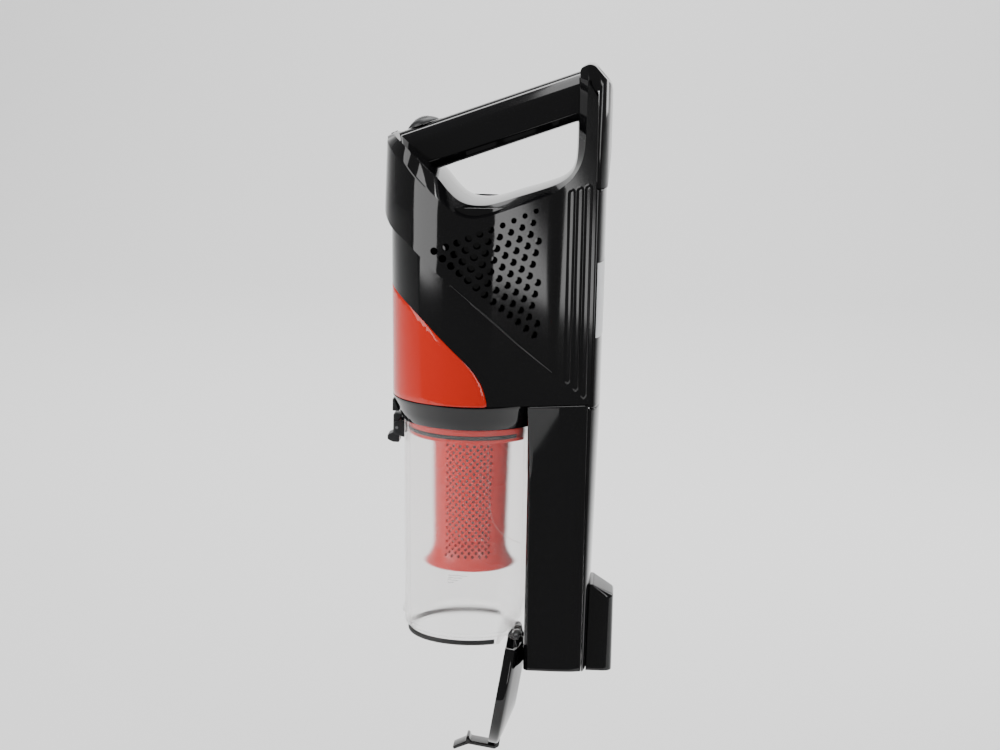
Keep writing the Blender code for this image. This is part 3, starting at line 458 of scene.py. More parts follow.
def mathNode(tree, operation, first, second):
    node = tree.nodes.new("ShaderNodeMath")
    node.operation = operation
    feed(tree, node.inputs[0], first)
    feed(tree, node.inputs[1], second)
    return node.outputs[0]


def noiseNode(tree, vector, scale, detail=3.0, rough=0.5):
    node = tree.nodes.new("ShaderNodeTexNoise")
    values = {"Vector": vector, "Scale": scale, "Detail": detail, "Roughness": rough}
    for socket, value in values.items():
        feed(tree, node.inputs[socket], value)
    return node.outputs["Fac"]


def rangeNode(tree, value, low, high, outLow, outHigh):
    node = tree.nodes.new("ShaderNodeMapRange")
    values = {"Value": value, "From Min": low, "From Max": high, "To Min": outLow, "To Max": outHigh}
    for socket, number in values.items():
        feed(tree, node.inputs[socket], number)
    return node.outputs["Result"]


def makeMouldedSkin():
    # broad gloss changes, fine grain and a few hairline scuffs of a moulded plastic
    tree, start, end = group(
        "mouldedSkin",
        [("Vector", "NodeSocketVector", (0, 0, 0)), ("Grain Scale", "NodeSocketFloat", 900.0),
         ("Scuff Amount", "NodeSocketFloat", 0.3)],
        [("Height", "NodeSocketFloat"), ("Gloss Mask", "NodeSocketFloat"), ("Dust", "NodeSocketFloat")],
    )
    vector = start.outputs["Vector"]
    broad = noiseNode(tree, vector, 22.0, 2.0)
    grain = noiseNode(tree, vector, start.outputs["Grain Scale"], 2.0, 0.6)
    stretch = tree.nodes.new("ShaderNodeMapping")
    stretch.inputs["Scale"].default_value = (1.0, 1.0, 0.06)
    stretch.inputs["Rotation"].default_value = (0.5, 0.3, 0.2)
    tree.links.new(vector, stretch.inputs["Vector"])
    lines = noiseNode(tree, stretch.outputs["Vector"], 1400.0, 1.0)
    scuff = rangeNode(tree, lines, 0.72, 0.78, 0.0, 1.0)
    patch = rangeNode(tree, noiseNode(tree, vector, 60.0, 1.0), 0.5, 0.7, 0.0, 1.0)
    scuff = mathNode(tree, "MULTIPLY", scuff, patch)
    scuff = mathNode(tree, "MULTIPLY", scuff, start.outputs["Scuff Amount"])
    speck = rangeNode(tree, noiseNode(tree, vector, 2600.0, 0.0), 0.78, 0.82, 0.0, 1.0)
    height = mathNode(tree, "SUBTRACT", grain, scuff)
    broadShare = mathNode(tree, "MULTIPLY", broad, 0.6)
    gloss = mathNode(tree, "ADD", broadShare, mathNode(tree, "MULTIPLY", scuff, 0.8))
    tree.links.new(height, end.inputs["Height"])
    tree.links.new(gloss, end.inputs["Gloss Mask"])
    tree.links.new(speck, end.inputs["Dust"])
    return tree


def makeRibbing():
    # evenly spaced waves along one direction, bent a little by noise
    tree, start, end = group(
        "ribbing",
        [("Vector", "NodeSocketVector", (0, 0, 0)), ("Scale", "NodeSocketFloat", 200.0),
         ("Distortion", "NodeSocketFloat", 0.3)],
        [("Height", "NodeSocketFloat"), ("Shade", "NodeSocketFloat")],
    )
    wave = tree.nodes.new("ShaderNodeTexWave")
    wave.bands_direction = "Z"
    for socket in ("Vector", "Scale", "Distortion"):
        tree.links.new(start.outputs[socket], wave.inputs[socket])
    shade = noiseNode(tree, start.outputs["Vector"], 120.0, 2.0)
    tree.links.new(wave.outputs["Fac"], end.inputs["Height"])
    tree.links.new(shade, end.inputs["Shade"])
    return tree


mouldedSkin = makeMouldedSkin()
ribbing = makeRibbing()


def newMaterial(name, metallic=0.0, transmission=0.0, ior=1.5, coat=0.0, specular=0.5):
    made = bpy.data.materials.new(name)
    made.use_nodes = True
    shader = made.node_tree.nodes["Principled BSDF"]
    values = {
        "Metallic": metallic, "Transmission Weight": transmission, "IOR": ior, "Coat Weight": coat,
        "Specular IOR Level": specular,
    }
    for socket, value in values.items():
        shader.inputs[socket].default_value = value
    coordinates = made.node_tree.nodes.new("ShaderNodeTexCoord")
    return made, made.node_tree, shader, coordinates.outputs["Object"]


def colourMix(tree, factor, first, second, socket):
    node = tree.nodes.new("ShaderNodeMix")
    node.data_type = "RGBA"
    node.inputs["A"].default_value = (*first, 1.0)
    node.inputs["B"].default_value = (*second, 1.0)
    tree.links.new(factor, node.inputs["Factor"])
    tree.links.new(node.outputs["Result"], socket)


def bumpInto(tree, shader, height, strength, distance):
    node = tree.nodes.new("ShaderNodeBump")
    node.inputs["Strength"].default_value = strength
    node.inputs["Distance"].default_value = distance
    tree.links.new(height, node.inputs["Height"])
    tree.links.new(node.outputs["Normal"], shader.inputs["Normal"])


def plastic(name, colour, rough, grain=900.0, depth=0.00002, scuffs=0.3, dusty=0.4, solid=None, **values):
    # colour lifts a little on dust specks; gloss varies between rough and rough + 0.08
    made, tree, shader, vector = newMaterial(name, **values)
    skin = tree.nodes.new("ShaderNodeGroup")
    skin.node_tree = mouldedSkin
    skin.inputs["Grain Scale"].default_value = grain
    skin.inputs["Scuff Amount"].default_value = scuffs
    tree.links.new(vector, skin.inputs["Vector"])
    dusted = tuple(c + (0.5 - c) * 0.08 * dusty for c in colour)
    colourMix(tree, skin.outputs["Dust"], colour, dusted, shader.inputs["Base Color"])
    roughness = rangeNode(tree, skin.outputs["Gloss Mask"], 0.15, 0.9, rough * 0.85, rough + 0.08)
    tree.links.new(roughness, shader.inputs["Roughness"])
    bumpInto(tree, shader, skin.outputs["Height"], 0.35, depth)
    if solid:
        alpha = rangeNode(tree, skin.outputs["Gloss Mask"], 0.15, 0.9, *solid)
        tree.links.new(alpha, shader.inputs["Alpha"])
    return made


def ribbed(name, colour, rough, scale, distortion=0.3, depth=0.0003, **values):
    # waves as bump, with the colour a little darker where the shade noise is low
    made, tree, shader, vector = newMaterial(name, **values)
    ribs = tree.nodes.new("ShaderNodeGroup")
    ribs.node_tree = ribbing
    ribs.inputs["Scale"].default_value = scale
    ribs.inputs["Distortion"].default_value = distortion
    tree.links.new(vector, ribs.inputs["Vector"])
    dark = tuple(c * 0.7 for c in colour)
    colourMix(tree, ribs.outputs["Shade"], dark, colour, shader.inputs["Base Color"])
    roughness = rangeNode(tree, ribs.outputs["Shade"], 0.2, 0.8, rough, rough + 0.15)
    tree.links.new(roughness, shader.inputs["Roughness"])
    bumpInto(tree, shader, ribs.outputs["Height"], 0.6, depth)
    return made


looks = {
    "black": plastic("glossBlack", (0.0035, 0.0035, 0.004), 0.06, depth=0.000004),
    "red": plastic("glossRed", (0.70, 0.020, 0.006), 0.09, depth=0.000004),
    "dark": plastic("satinDark", (0.022, 0.023, 0.024), 0.42, grain=2200.0, depth=0.00006),
    "filterRed": plastic("filterRed", (0.90, 0.014, 0.006), 0.30, grain=1500.0),
    "clear": plastic(
        "hazyClear", (0.97, 0.965, 0.955), 0.10, depth=0.000004, transmission=0.88, ior=1.05, coat=0.9,
        solid=(0.42, 0.55),
    ),
    "rubber": plastic("softRubber", (0.012, 0.012, 0.012), 0.6, grain=1800.0, depth=0.00008),
    "paper": plastic("labelFilm", (0.82, 0.83, 0.84), 0.45, grain=1200.0, scuffs=0.6),
    "print": plastic("printedLine", (0.95, 0.95, 0.95), 0.4),
    "steel": plastic("plainSteel", (0.55, 0.55, 0.57), 0.28, grain=1500.0, metallic=1.0),
    "aluminium": plastic("castAluminium", (0.68, 0.68, 0.70), 0.38, grain=700.0, metallic=1.0),
    "copper": ribbed("windings", (0.72, 0.33, 0.16), 0.3, 300.0, metallic=1.0),
    "board": plastic("circuitBoard", (0.015, 0.14, 0.05), 0.35, grain=600.0),
    "cell": plastic("cellSleeve", (0.03, 0.11, 0.40), 0.25),
    "foam": plastic("filterFoam", (0.03, 0.03, 0.032), 0.9, grain=500.0, depth=0.0006, specular=0.2),
    "pleats": ribbed("pleatedPaper", (0.80, 0.79, 0.74), 0.8, 260.0, specular=0.2),
}

carried = {
    "lid_pin": "steel", "latch_pin": "steel", "button_spring": "steel", "motor_floor": "dark",
    "fan_shroud": "aluminium", "motor_can": "steel", "stator": "copper", "bearing_lower": "steel",
    "bearing_upper": "steel", "motor_rubber_lower": "rubber", "motor_rubber_upper": "rubber",
    "motor_carrier": "dark", "rotor_shaft": "steel", "impeller": "aluminium", "exhaust_filter": "foam",
    "control_board": "board", "battery_holder": "dark", "battery_cell_1": "cell",
    "battery_cell_2": "cell", "battery_cell_3": "cell", "battery_cell_4": "cell",
    "cell_link_top": "steel", "cell_link_bottom": "steel", "motor_lead": "rubber",
    "pleated_filter": "pleats", "switch_block": "dark",
}
for node, look in carried.items():
    wear(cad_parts[node].data, looks[look])
print("materials ready")

# motor body: a flat drawing of distance round the skin against level, bent to the skin

body = {
    "frontRadius": 51.3,  # of the round front at level 0
    "taper": 0.018,  # growth of that radius per mm of height
    "creaseX": 76.0,  # where the flanks meet the back covers
    "half": 28.5,  # half width there
    "arcSpan": 99.0,  # length given to the round front in the flat drawing
    "flankSpan": 62.0,
    "bottom": bodyBottomLevel,
    "wall": 2.0,
    "widest": 53.5,  # half width is eased towards this over the last kneeDepth
    "kneeDepth": 0.7,
    "shroudShift": 2.6,  # the shroud's own axis lies this far forward
    "shroudRadius": 54.9,
    "shroudLean": 1.1 / 49.0,
    "stepHeight": 1.3,  # of the proud face where the round front ends
}

# lower edge of the proud shroud as (x, level)
stepLine = np.array([
    (-54.0, 97.5), (-52.9, 98.2), (-50.0, 96.6), (-37.8, 88.0), (-27.6, 78.3), (-22.5, 72.9), (-3.5, 56.9),
    (6.0, 48.9), (17.4, 38.8), (24.9, 31.6), (31.5, 25.6), (43.9, 15.1), (52.0, 8.3), (60.0, 1.6),
    (80.0, -15.0),
])
# upper edge of the coloured panel as (x, level)
panelLine = np.array([
    (-54.0, 60.6), (-48.3, 56.0), (-38.0, 48.2), (-27.5, 39.4), (-18.5, 31.0), (-10.0, 23.3),
    (-2.8, 16.6), (1.2, 12.6), (4.8, 8.3), (8.6, 2.2), (10.6, -3.0), (11.9, -8.0), (12.7, -12.5),
])


def levelShape(z):
    radius = body["frontRadius"] + body["taper"] * z
    corner = math.hypot(body["creaseX"], body["half"])
    start = math.atan2(body["half"], body["creaseX"]) + np.arccos(radius / corner)
    return radius, start


def skinCoordinate(x, z):
    # distance round the level section at which it passes x
    radius, start = levelShape(z)
    tangent = radius * np.cos(start)
    angle = np.arccos(np.clip(x / radius, -1, 1))
    onArc = body["arcSpan"] * (math.pi - angle) / (math.pi - start)
    onFlank = body["arcSpan"] + body["flankSpan"] * (x - tangent) / (body["creaseX"] - tangent)
    return np.where(x < tangent, onArc, onFlank)


ribs = {
    "centres": (61.2, 66.3, 71.4), "halfWidth": 2.0, "height": 0.9, "top": 123.0, "foot": 1.0, "slant": 0.95,
    "zone": 43.0,  # where the finer drawing for them starts on the flank
}


def ribLift(x, z):
    # a flat-topped bump across each rib that ends in a round top and a slanted foot
    total = np.zeros_like(x)
    for centre in ribs["centres"]:
        across = np.abs(x - centre)
        top = ribs["top"] + 0.25 * (x - ribs["centres"][0]) - 0.35 * across**2
        foot = ribs["foot"] - ribs["slant"] * (centre - ribs["centres"][0]) + across
        ends = smoothStep((top - z) / 1.2) * smoothStep((z - foot) / 1.2)
        total = total + ribs["height"] * smoothStep((ribs["halfWidth"] - across) / 0.7) * ends
    return total


def stepWidth(p):
    # the step is a long slope at the front and a thin ledge round the sides
    return 1.0 + 8.5 * np.exp(-((p / 15.0) ** 2))


def stepLevel(p, z):
    # the taper makes x depend on the level a little, so this is called a few times over
    x = skinPoints(p, z, np.zeros_like(p))[:, 0]
    return np.interp(x, stepLine[:, 0], stepLine[:, 1])


def skinPoints(p, z, lift):
    # round front, then the straight flank, moved out along the level normal by the lift
    radius, start = levelShape(z)
    side = np.sign(p) + (p == 0)
    reach = np.abs(p)
    angle = math.pi - np.minimum(reach / body["arcSpan"], 1.0) * (math.pi - start)
    nx, ny = np.cos(angle), np.sin(angle)
    along = np.maximum(reach - body["arcSpan"], 0.0) / body["flankSpan"]
    x = radius * nx + along * (body["creaseX"] - radius * np.cos(start)) + nx * lift
    y = radius * ny + along * (body["half"] - radius * np.sin(start)) + ny * lift
    knee = body["widest"] - body["kneeDepth"]
    over = np.maximum(y - knee, 0.0)
    y = np.minimum(y, knee) + body["kneeDepth"] * (1 - np.exp(-over / body["kneeDepth"]))
    return np.stack([x, -side * y, z], 1)


def bodyLift(p, z):
    # height of the proud face: its own circle at the front, dying away along the flank
    radius, start = levelShape(z)
    reach = np.abs(p)
    angle = np.minimum(reach / body["arcSpan"], 1.0) * (math.pi - start)
    own = body["shroudRadius"] - body["shroudLean"] * (z - 107.0)
    own = np.where(z < 107.0, body["shroudRadius"] - 0.01 * (107.0 - z), own)
    front = own + body["shroudShift"] * np.cos(angle) - radius
    flank = body["stepHeight"] * (1.0 - np.maximum(reach - body["arcSpan"], 0.0) / body["flankSpan"] * 1.25)
    blend = smoothStep((reach - 60.0) / 45.0)
    high = np.maximum(front, 0.35) * (1 - blend) + np.maximum(flank, 0.0) * blend
    x = skinPoints(p, z, np.zeros_like(p))[:, 0]
    level = np.interp(x, stepLine[:, 0], stepLine[:, 1])
    rise = smoothStep((z - level) / stepWidth(reach))
    tail = smoothStep((57.0 - x) / 8.0)
    return high * rise * tail + ribLift(x, z)


vents = {
    "start": (-20.6, 84.6), "step": (5.05, -4.3), "up": (6.7, 2.8), "rows": 13, "columns": 10,
    "lastX": 42.0, "radius": 2.35, "lip": 0.4, "sides": 18, "linerInset": 4.2, "linerWall": 0.8,
}


def ventHoles():
    # rows start on the lower edge and run up to the rear; the upper ones shrink rearwards
    row, column = np.meshgrid(np.arange(vents["rows"]), np.arange(vents["columns"]), indexing="ij")
    x = vents["start"][0] + vents["step"][0] * row + vents["up"][0] * column
    z = vents["start"][1] + vents["step"][1] * row + vents["up"][1] * column
    size = vents["radius"] - column * (0.075 * (row == 0) + 0.03 * (row == 1))
    keep = x < vents["lastX"]
    return x[keep], z[keep], size[keep]


def circlePoints(centre, radius, count):
    angle = np.linspace(0, 2 * math.pi, count, endpoint=False)
    return np.stack([centre[0] + radius * np.cos(angle), centre[1] + radius * np.sin(angle)], 1)


# Shoulder and loop: rows of the outer edge on the skin (x, level) and the inner edge
# (x, depth, level), from the front middle over the shoulder and round the loop to the spine
loopKnots = np.array([
    (-57.0, 150.6, -52.6, 0.0, 153.2), (-56.3, 150.2, -51.8, 11.0, 153.0),
    (-54.3, 148.9, -50.0, 19.5, 152.5), (-50.9, 145.6, -47.3, 27.5, 151.0),
    (-45.3, 140.4, -43.0, 33.5, 147.8), (-38.5, 134.4, -37.6, 36.8, 143.0),
    (-32.1, 128.3, -31.9, 37.6, 137.8), (-21.4, 118.7, -21.8, 38.0, 128.6),
    (-12.6, 111.2, -13.6, 37.0, 119.3), (-6.5, 107.0, -7.4, 35.6, 114.2),
    (1.0, 105.2, -0.5, 34.2, 111.9), (9.4, 106.4, 9.0, 33.2, 111.9), (18.0, 109.2, 18.5, 32.2, 114.2),
    (28.8, 112.9, 29.0, 31.0, 117.7), (39.7, 116.6, 39.5, 29.6, 121.0), (49.5, 120.6, 48.8, 28.0, 124.2),
    (56.2, 124.9, 54.6, 26.2, 126.8), (60.9, 129.2, 58.8, 24.6, 129.9), (64.4, 134.4, 61.8, 23.0, 134.0),
    (67.0, 140.2, 63.5, 21.8, 139.6), (68.4, 147.4, 64.1, 21.1, 147.0), (68.9, 157.5, 64.2, 21.0, 157.5),
    (69.1, 168.2, 64.2, 21.0, 168.2), (69.2, 178.6, 64.2, 21.0, 178.8), (69.3, 189.2, 64.2, 21.0, 190.4),
])
loop = {"samples": 190, "edge": 0.9, "crown": 1.2, "seam": 0.15}


def loopCurves():
    rows = curveThrough(loopKnots, loop["samples"])
    p = skinCoordinate(rows[:, 0], rows[:, 1])
    p[0] = loop["seam"]
    p = np.maximum(p, loop["seam"])
    return rows, np.stack([p, rows[:, 1]], 1)


def shoulderPart(side):
    # straight chamfer from the skin to the inner edge, then a wall to the middle, crowned
    # by one minus the square of its depth
    rows, outerFlat = loopCurves()
    outer = skinPoints(outerFlat[:, 0], outerFlat[:, 1], bodyLift(outerFlat[:, 0], outerFlat[:, 1]))
    inner = np.stack([rows[:, 2], -np.maximum(rows[:, 3], loop["seam"]), rows[:, 4]], 1)
    width = np.maximum(np.linalg.norm(inner - outer, axis=1, keepdims=True), 1e-6)
    near = np.minimum(loop["edge"] / width, 0.3)
    lines = [outer, outer + (inner - outer) * near, inner + (outer - inner) * near, inner]
    tangent = np.gradient(inner[:, [0, 2]], axis=0)
    tangent /= np.linalg.norm(tangent, axis=1, keepdims=True)
    up = np.stack([-tangent[:, 1], tangent[:, 0]], 1)
    depth = np.abs(inner[:, 1])
    first = np.minimum(loop["edge"] / np.maximum(depth, 1e-6), 0.3)
    for share in (None, 0.15, 0.35, 0.55, 0.75, 0.9, 1.0):
        part = first if share is None else share
        y = -(depth + (loop["seam"] - depth) * part)
        lift = loop["crown"] * (1 - (np.abs(y) / np.maximum(depth, 1e-6)) ** 2) * smoothStep(depth / 20.0)
        lines.append(np.stack([inner[:, 0] + up[:, 0] * lift, y, inner[:, 2] + up[:, 1] * lift], 1))
    points = np.array(lines)
    points[..., 1] *= side
    return gridPart(points)


def bodyHalf(side):
    _, edge = loopCurves()
    panelX = np.linspace(panelLine[-1, 0], -53.0, 90)
    panelZ = np.interp(panelX, panelLine[:, 0], panelLine[:, 1])
    bottom = body["bottom"]
    gap = 0.21  # to the panel, both rearwards and upwards
    panelFlat = np.stack([skinCoordinate(panelX + gap, panelZ), panelZ + gap], 1)
    panelFlat = panelFlat[panelFlat[:, 1] > bottom + 0.5]
    rearP = body["arcSpan"] + body["flankSpan"]
    flankTop = 178.6
    frontTop = edge[0, 1]
    bottomP = np.linspace(panelFlat[0, 0], rearP, 60)
    rear = np.stack([np.full(56, rearP), np.linspace(bottom, flankTop, 56)], 1)
    slope = np.linspace((rearP, flankTop), edge[-1], 8)[1:-1]
    middleZ = np.arange(frontTop - 2.0, panelFlat[-1, 1] + 1.0, -2.5)
    outline = np.vstack([
        np.stack([bottomP, np.full(60, bottom)], 1), rear[1:], slope, edge[::-1],
        np.stack([np.full(len(middleZ), loop["seam"]), middleZ], 1),
        [(loop["seam"], panelFlat[-1, 1])], panelFlat[:-1][::-1],
    ])
    ventX, ventZ, size = ventHoles()
    ventP = skinCoordinate(ventX, ventZ)
    holes = [circlePoints((p, z), r, vents["sides"]) for p, z, r in zip(ventP, ventZ, size)]
    lips = [circlePoints((p, z), r + vents["lip"], vents["sides"]) for p, z, r in zip(ventP, ventZ, size)]
    lips = [np.vstack([lip, lip[:1]]) for lip in lips]
    inward = edge - (0.0, loop["edge"])
    stepP = np.linspace(loop["seam"] + 0.4, 147.0, 170)
    lowZ = np.full(170, 60.0)
    for _ in range(4):
        lowZ = stepLevel(stepP, lowZ)
    wide = stepWidth(stepP)
    creases = [
        np.stack([stepP, lowZ + offset], 1)
        for offset in (-0.9, 0.0, wide * 0.33, wide * 0.66, wide, wide + 0.9)
    ]
    creases.append(panelFlat[1:-1] + (0.55, 0.75))
    bottomLine = np.stack([bottomP[1:-1], np.full(58, bottom + 0.8)], 1)
    rearLine = np.stack([np.full(50, rearP - 0.8), np.linspace(bottom + 1.5, 176.0, 50)], 1)
    # loose points: wide apart on the round front, close together across the ribs, and
    # closest where the ribs begin and end
    ribStart = body["arcSpan"] + ribs["zone"]
    ribColumns = np.arange(ribStart, rearP - 1.0, 0.55)
    footTop, topStart, topEnd = 6.0, 117.0, 128.0
    wideGrid = flatGrid(np.arange(2.0, rearP, 2.6), np.arange(-10.0, 190.0, 3.2))
    wideGrid = wideGrid[wideGrid[:, 0] < ribStart]
    topGrid = flatGrid(ribColumns, np.arange(topStart, topEnd, 0.6))
    footGrid = flatGrid(ribColumns, np.arange(-10.0, footTop, 0.6))
    ribGrid = flatGrid(ribColumns, np.arange(-9.0, 187.0, 2.4))
    level = ribGrid[:, 1]
    ribGrid = ribGrid[(level > footTop) & ((level < topStart) | (level > topEnd))]
    loose = np.vstack([wideGrid, topGrid, footGrid, ribGrid])

    def surface(flat):
        p, z = flat[:, 0], flat[:, 1]
        lift = bodyLift(p, z)
        points = skinPoints(p, z, lift)
        points[:, 1] *= side
        return points

    skin = sheetPart(outline, holes, lips + creases + [inward, bottomLine, rearLine], loose, 0.5, surface)
    return [skin, shoulderPart(side)]


def linerPart(side):
    # a sheet that runs close behind the vents, so that they don't look through the body
    ventZ = ventHoles()[1]
    around = np.linspace(52.0, 128.0, 60)
    p, z = np.meshgrid(around, np.linspace(ventZ.min() - 4, ventZ.max() + 1.5, 40), indexing="ij")
    layers = []
    for inset in (vents["linerInset"], vents["linerInset"] + vents["linerWall"]):
        points = skinPoints(p.ravel(), z.ravel(), -inset)
        points[:, 1] *= side
        layers.append(points.reshape(p.shape + (3,)))
    ring = np.concatenate([layers[0], layers[1][:, ::-1]], 1)
    return gridPart(ring, closeColumns=True, capStart=True, capEnd=True)


for side, name in ((1, "bodyShellLeft"), (-1, "bodyShellRight")):
    half = makeMesh(name, bodyHalf(side), 0.02)
    thicken(half, body["wall"], (10.0, 0.0, 60.0))
    mergeInto(half, makeMesh("liner", [linerPart(side)]))
    replaced = ("body_shell_left", "front_shroud") if side > 0 else ("body_shell_right",)
    finishPiece(half, looks["black"], "main", replaced, sharp=58)
print("body shells built")

# coloured front panel, on the same skin as the body, and the skirt under it

panel = {"edgeDrop": 0.35, "edgeWidth": 0.6, "wall": 1.8}


def frontPanelPart():
    x = np.linspace(panelLine[-1, 0] - 0.2, -52.4, 110)
    z = np.interp(x, panelLine[:, 0], panelLine[:, 1])
    z = np.maximum(z, body["bottom"])
    p = skinCoordinate(x, z)
    p = np.concatenate([p[:-1], [0.0], -p[:-1][::-1]])
    z = np.concatenate([z[:-1], [z[-1]], z[:-1][::-1]])
    base = np.linspace(p[-1], p[0], 90)[1:-1]
    outline = np.vstack([np.stack([p, z], 1), np.stack([base, np.full(88, body["bottom"])], 1)])
    inner = outline - outwardNormals(outline) * panel["edgeWidth"]
    loose = flatGrid(np.arange(-112.0, 112.1, 2.4), np.arange(-11.0, 60.0, 2.8))

    def surface(flat):
        # the rim drops away over its last half millimetre
        gap = np.linalg.norm(flat[:, None, :] - outline[None], axis=2).min(1)
        return skinPoints(flat[:, 0], flat[:, 1], -panel["edgeDrop"] * (1 - smoothStep(gap / 0.5)))

    return [sheetPart(outline, [], [np.vstack([inner, inner[:1]])], loose, 0.7, surface)]


frontPanel = makeMesh("frontPanel", frontPanelPart())
thicken(frontPanel, panel["wall"], (0.0, 0.0, 20.0))
finishPiece(frontPanel, looks["red"], "main", ("front_panel",), sharp=50)

collarProfile = [
    (50.6, -12.3), (51.0, -12.6), (50.9, -13.4), (50.2, -14.6), (47.4, -21.6), (44.9, -27.2), (44.2, -28.0),
    (41.2, -28.0), (46.0, -12.3),
]
piece("collarSkirt", [arcPart(collarProfile, 36.9)], looks["black"], "main", ("collar",), sharp=40)
print("front panel and skirt built")

# grip bar and power switch

bar = {"x": 18.0, "z": 162.0, "half": 16.5, "height": 29.0, "slope": math.atan2(17.9, 49.6)}


def barPoints(along, across, up):
    c, s = math.cos(bar["slope"]), math.sin(bar["slope"])
    shape = np.broadcast(along, across, up).shape
    x = bar["x"] + along * c - up * s
    z = bar["z"] + along * s + up * c
    return np.stack([np.broadcast_to(part, shape) for part in (x, across, z)], -1)


def barSweep(section, start, end, corner, rows=2):
    # a section with rounded corners carried straight along the bar
    line = roundCorners(section, corner, 6)
    along = np.linspace(start, end, rows)[:, None]
    points = barPoints(along, line[None, :, 0], line[None, :, 1])
    return gridPart(points, closeColumns=True, capStart=True, capEnd=True)


def gripBar():
    w, h = bar["half"], bar["height"] / 2
    section = [
        (-w, -h + 6), (-w, h - 8.5), (-w + 4.5, h - 2.5), (-7, h), (7, h), (w - 4.5, h - 2.5), (w, h - 8.5),
        (w, -h + 6), (w - 4, -h + 1), (w - 9, -h), (-w + 9, -h), (-w + 4, -h + 1),
    ]
    room = [(-w + 3, -h + 7), (-w + 3, h - 9), (-8, h - 3.5), (8, h - 3.5), (w - 3, h - 9), (w - 3, -h + 7),
            (w - 6, -h + 3), (-w + 6, -h + 3)]
    corners = [1.6, 2.5, 3, 3, 3, 3, 2.5, 1.6, 4, 4, 4, 4]
    made = makeMesh("gripBar", [barSweep(section, -75, 60, corners, 60)])
    front = [(-120, 172), (-49, 153), (-44.3, 149.6), (-20, 128.1), (-8, 114), (-8, 60), (-120, 60)]
    slotSection = [(-3.5, 5), (-3.5, 22), (3.5, 22), (3.5, 5)]
    tools = [
        makeMesh("cutRoom", [barSweep(room, -90, 80, 1.0)]),
        makeMesh("cutFront", [platePart(front, -40, 40, 0.01, "Y", 0.01)]),
        makeMesh("cutRear", [boxPart((63.9, -40, 120), (120, 40, 240))]),
        makeMesh("cutSlot", [barSweep(slotSection, -59.5, -38, 0.3)]),
    ]
    cutAway(made, tools)
    return made


finishPiece(gripBar(), looks["black"], "main", ("grip_bar",), sharp=28)

switch = {"start": -60.3, "end": -39.6, "half": 8.2, "rise": 4.4, "ridges": 8, "ridgeHeight": 0.35}


def switchPart():
    # lens-shaped cap: half width and rise both follow a raised sine along its length
    share = np.linspace(0, 1, 121)[:, None]
    along = switch["start"] + (switch["end"] - switch["start"]) * share
    width = np.sin(math.pi * np.clip(share, 0.012, 0.988)) ** 0.55
    across = np.linspace(-1, 1, 41)[None]
    rise = switch["rise"] * np.sin(math.pi * np.clip(share, 0.004, 0.996)) ** 0.8
    crown = (1 - np.abs(across) ** 2.6) ** 0.6
    wave = np.cos(math.pi * 2 * switch["ridges"] * (share - 0.3) / 0.4)
    zone = smoothStep((share - 0.28) / 0.02) * smoothStep((0.72 - share) / 0.02)
    zone = zone * smoothStep((0.72 - np.abs(across)) / 0.1)
    seat = bar["height"] / 2 + 0.3
    up = seat + rise * crown + switch["ridgeHeight"] * wave * zone * crown
    top = barPoints(along, across * switch["half"] * width, up)
    low = barPoints(along, across[:, ::-1] * switch["half"] * width, np.full_like(up, seat))
    ring = np.concatenate([top, low[:, 1:-1]], 1)
    cap = gridPart(ring, closeColumns=True, capStart=True, capEnd=True)
    stem = barSweep([(-2.6, 6.5), (-2.6, 15.4), (2.6, 15.4), (2.6, 6.5)], -57.5, -52, 0.4)
    return [cap, stem]


piece("powerSwitch", switchPart(), looks["dark"], "switch_slide", ("power_switch",), sharp=40)
print("grip built")

# back covers, cap, label and socket

backs = {"wall": 2.2, "halfTop": 27.5, "halfLow": 27.0, "tuck": 2.3, "frontTop": 76.3, "frontLow": 74.7}


def backLine(frontX, half, backX, steps=40):
    # an ellipse whose depth follows the cosine to the power 0.8
    angle = np.linspace(math.pi / 2, -math.pi / 2, steps + 1)
    depth = (backX - frontX) * np.maximum(0, np.cos(angle)) ** 0.8
    return np.stack([frontX + depth, half * np.sin(angle)], 1)


def coverAt(frontX, fullHalf, lowZ, lowBack, highZ, highBack, lipDepth):
    # the level section of a cover: rounded outside and inside, with a lip at its front
    def outline(z):
        back = np.interp(z, (lowZ, highZ), (lowBack, highBack))
        half = fullHalf - backs["tuck"] * float(np.clip(-(z + 12.3) / 49.7, 0, 1)) * (highZ < 0)
        outer = backLine(frontX, half, back)
        inner = backLine(frontX, half - backs["wall"], back - backs["wall"])[::-1]
        lipX = frontX - lipDepth
        lip = np.array([(frontX, half - 1.3), (lipX, half - 1.3), (lipX, half - backs["wall"])])
        return np.vstack([outer, lip * (1, -1), inner[1:-1], lip[::-1]])
    return outline


topLevels = (-14.5, 81.7, 123.0, 82.4, 2.4)
topSection = coverAt(backs["frontTop"], backs["halfTop"], *topLevels)
cover = loftPart(topSection, -14.5, 122.6, 0.5, np.linspace(-13, 121, 40))
piece("backCover", [cover], looks["black"], "main", ("back_cover",), sharp=50)
lowLevels = (-187.5, 77.6, -14.8, 81.6, 0.15)
lowSection = coverAt(backs["frontLow"], backs["halfLow"], *lowLevels)
coverLow = loftPart(lowSection, -187.5, -15.2, 0.5, np.linspace(-185, -17, 40))
piece("nozzleBack", [coverLow], looks["black"], "main", ("nozzle_back",), sharp=50)


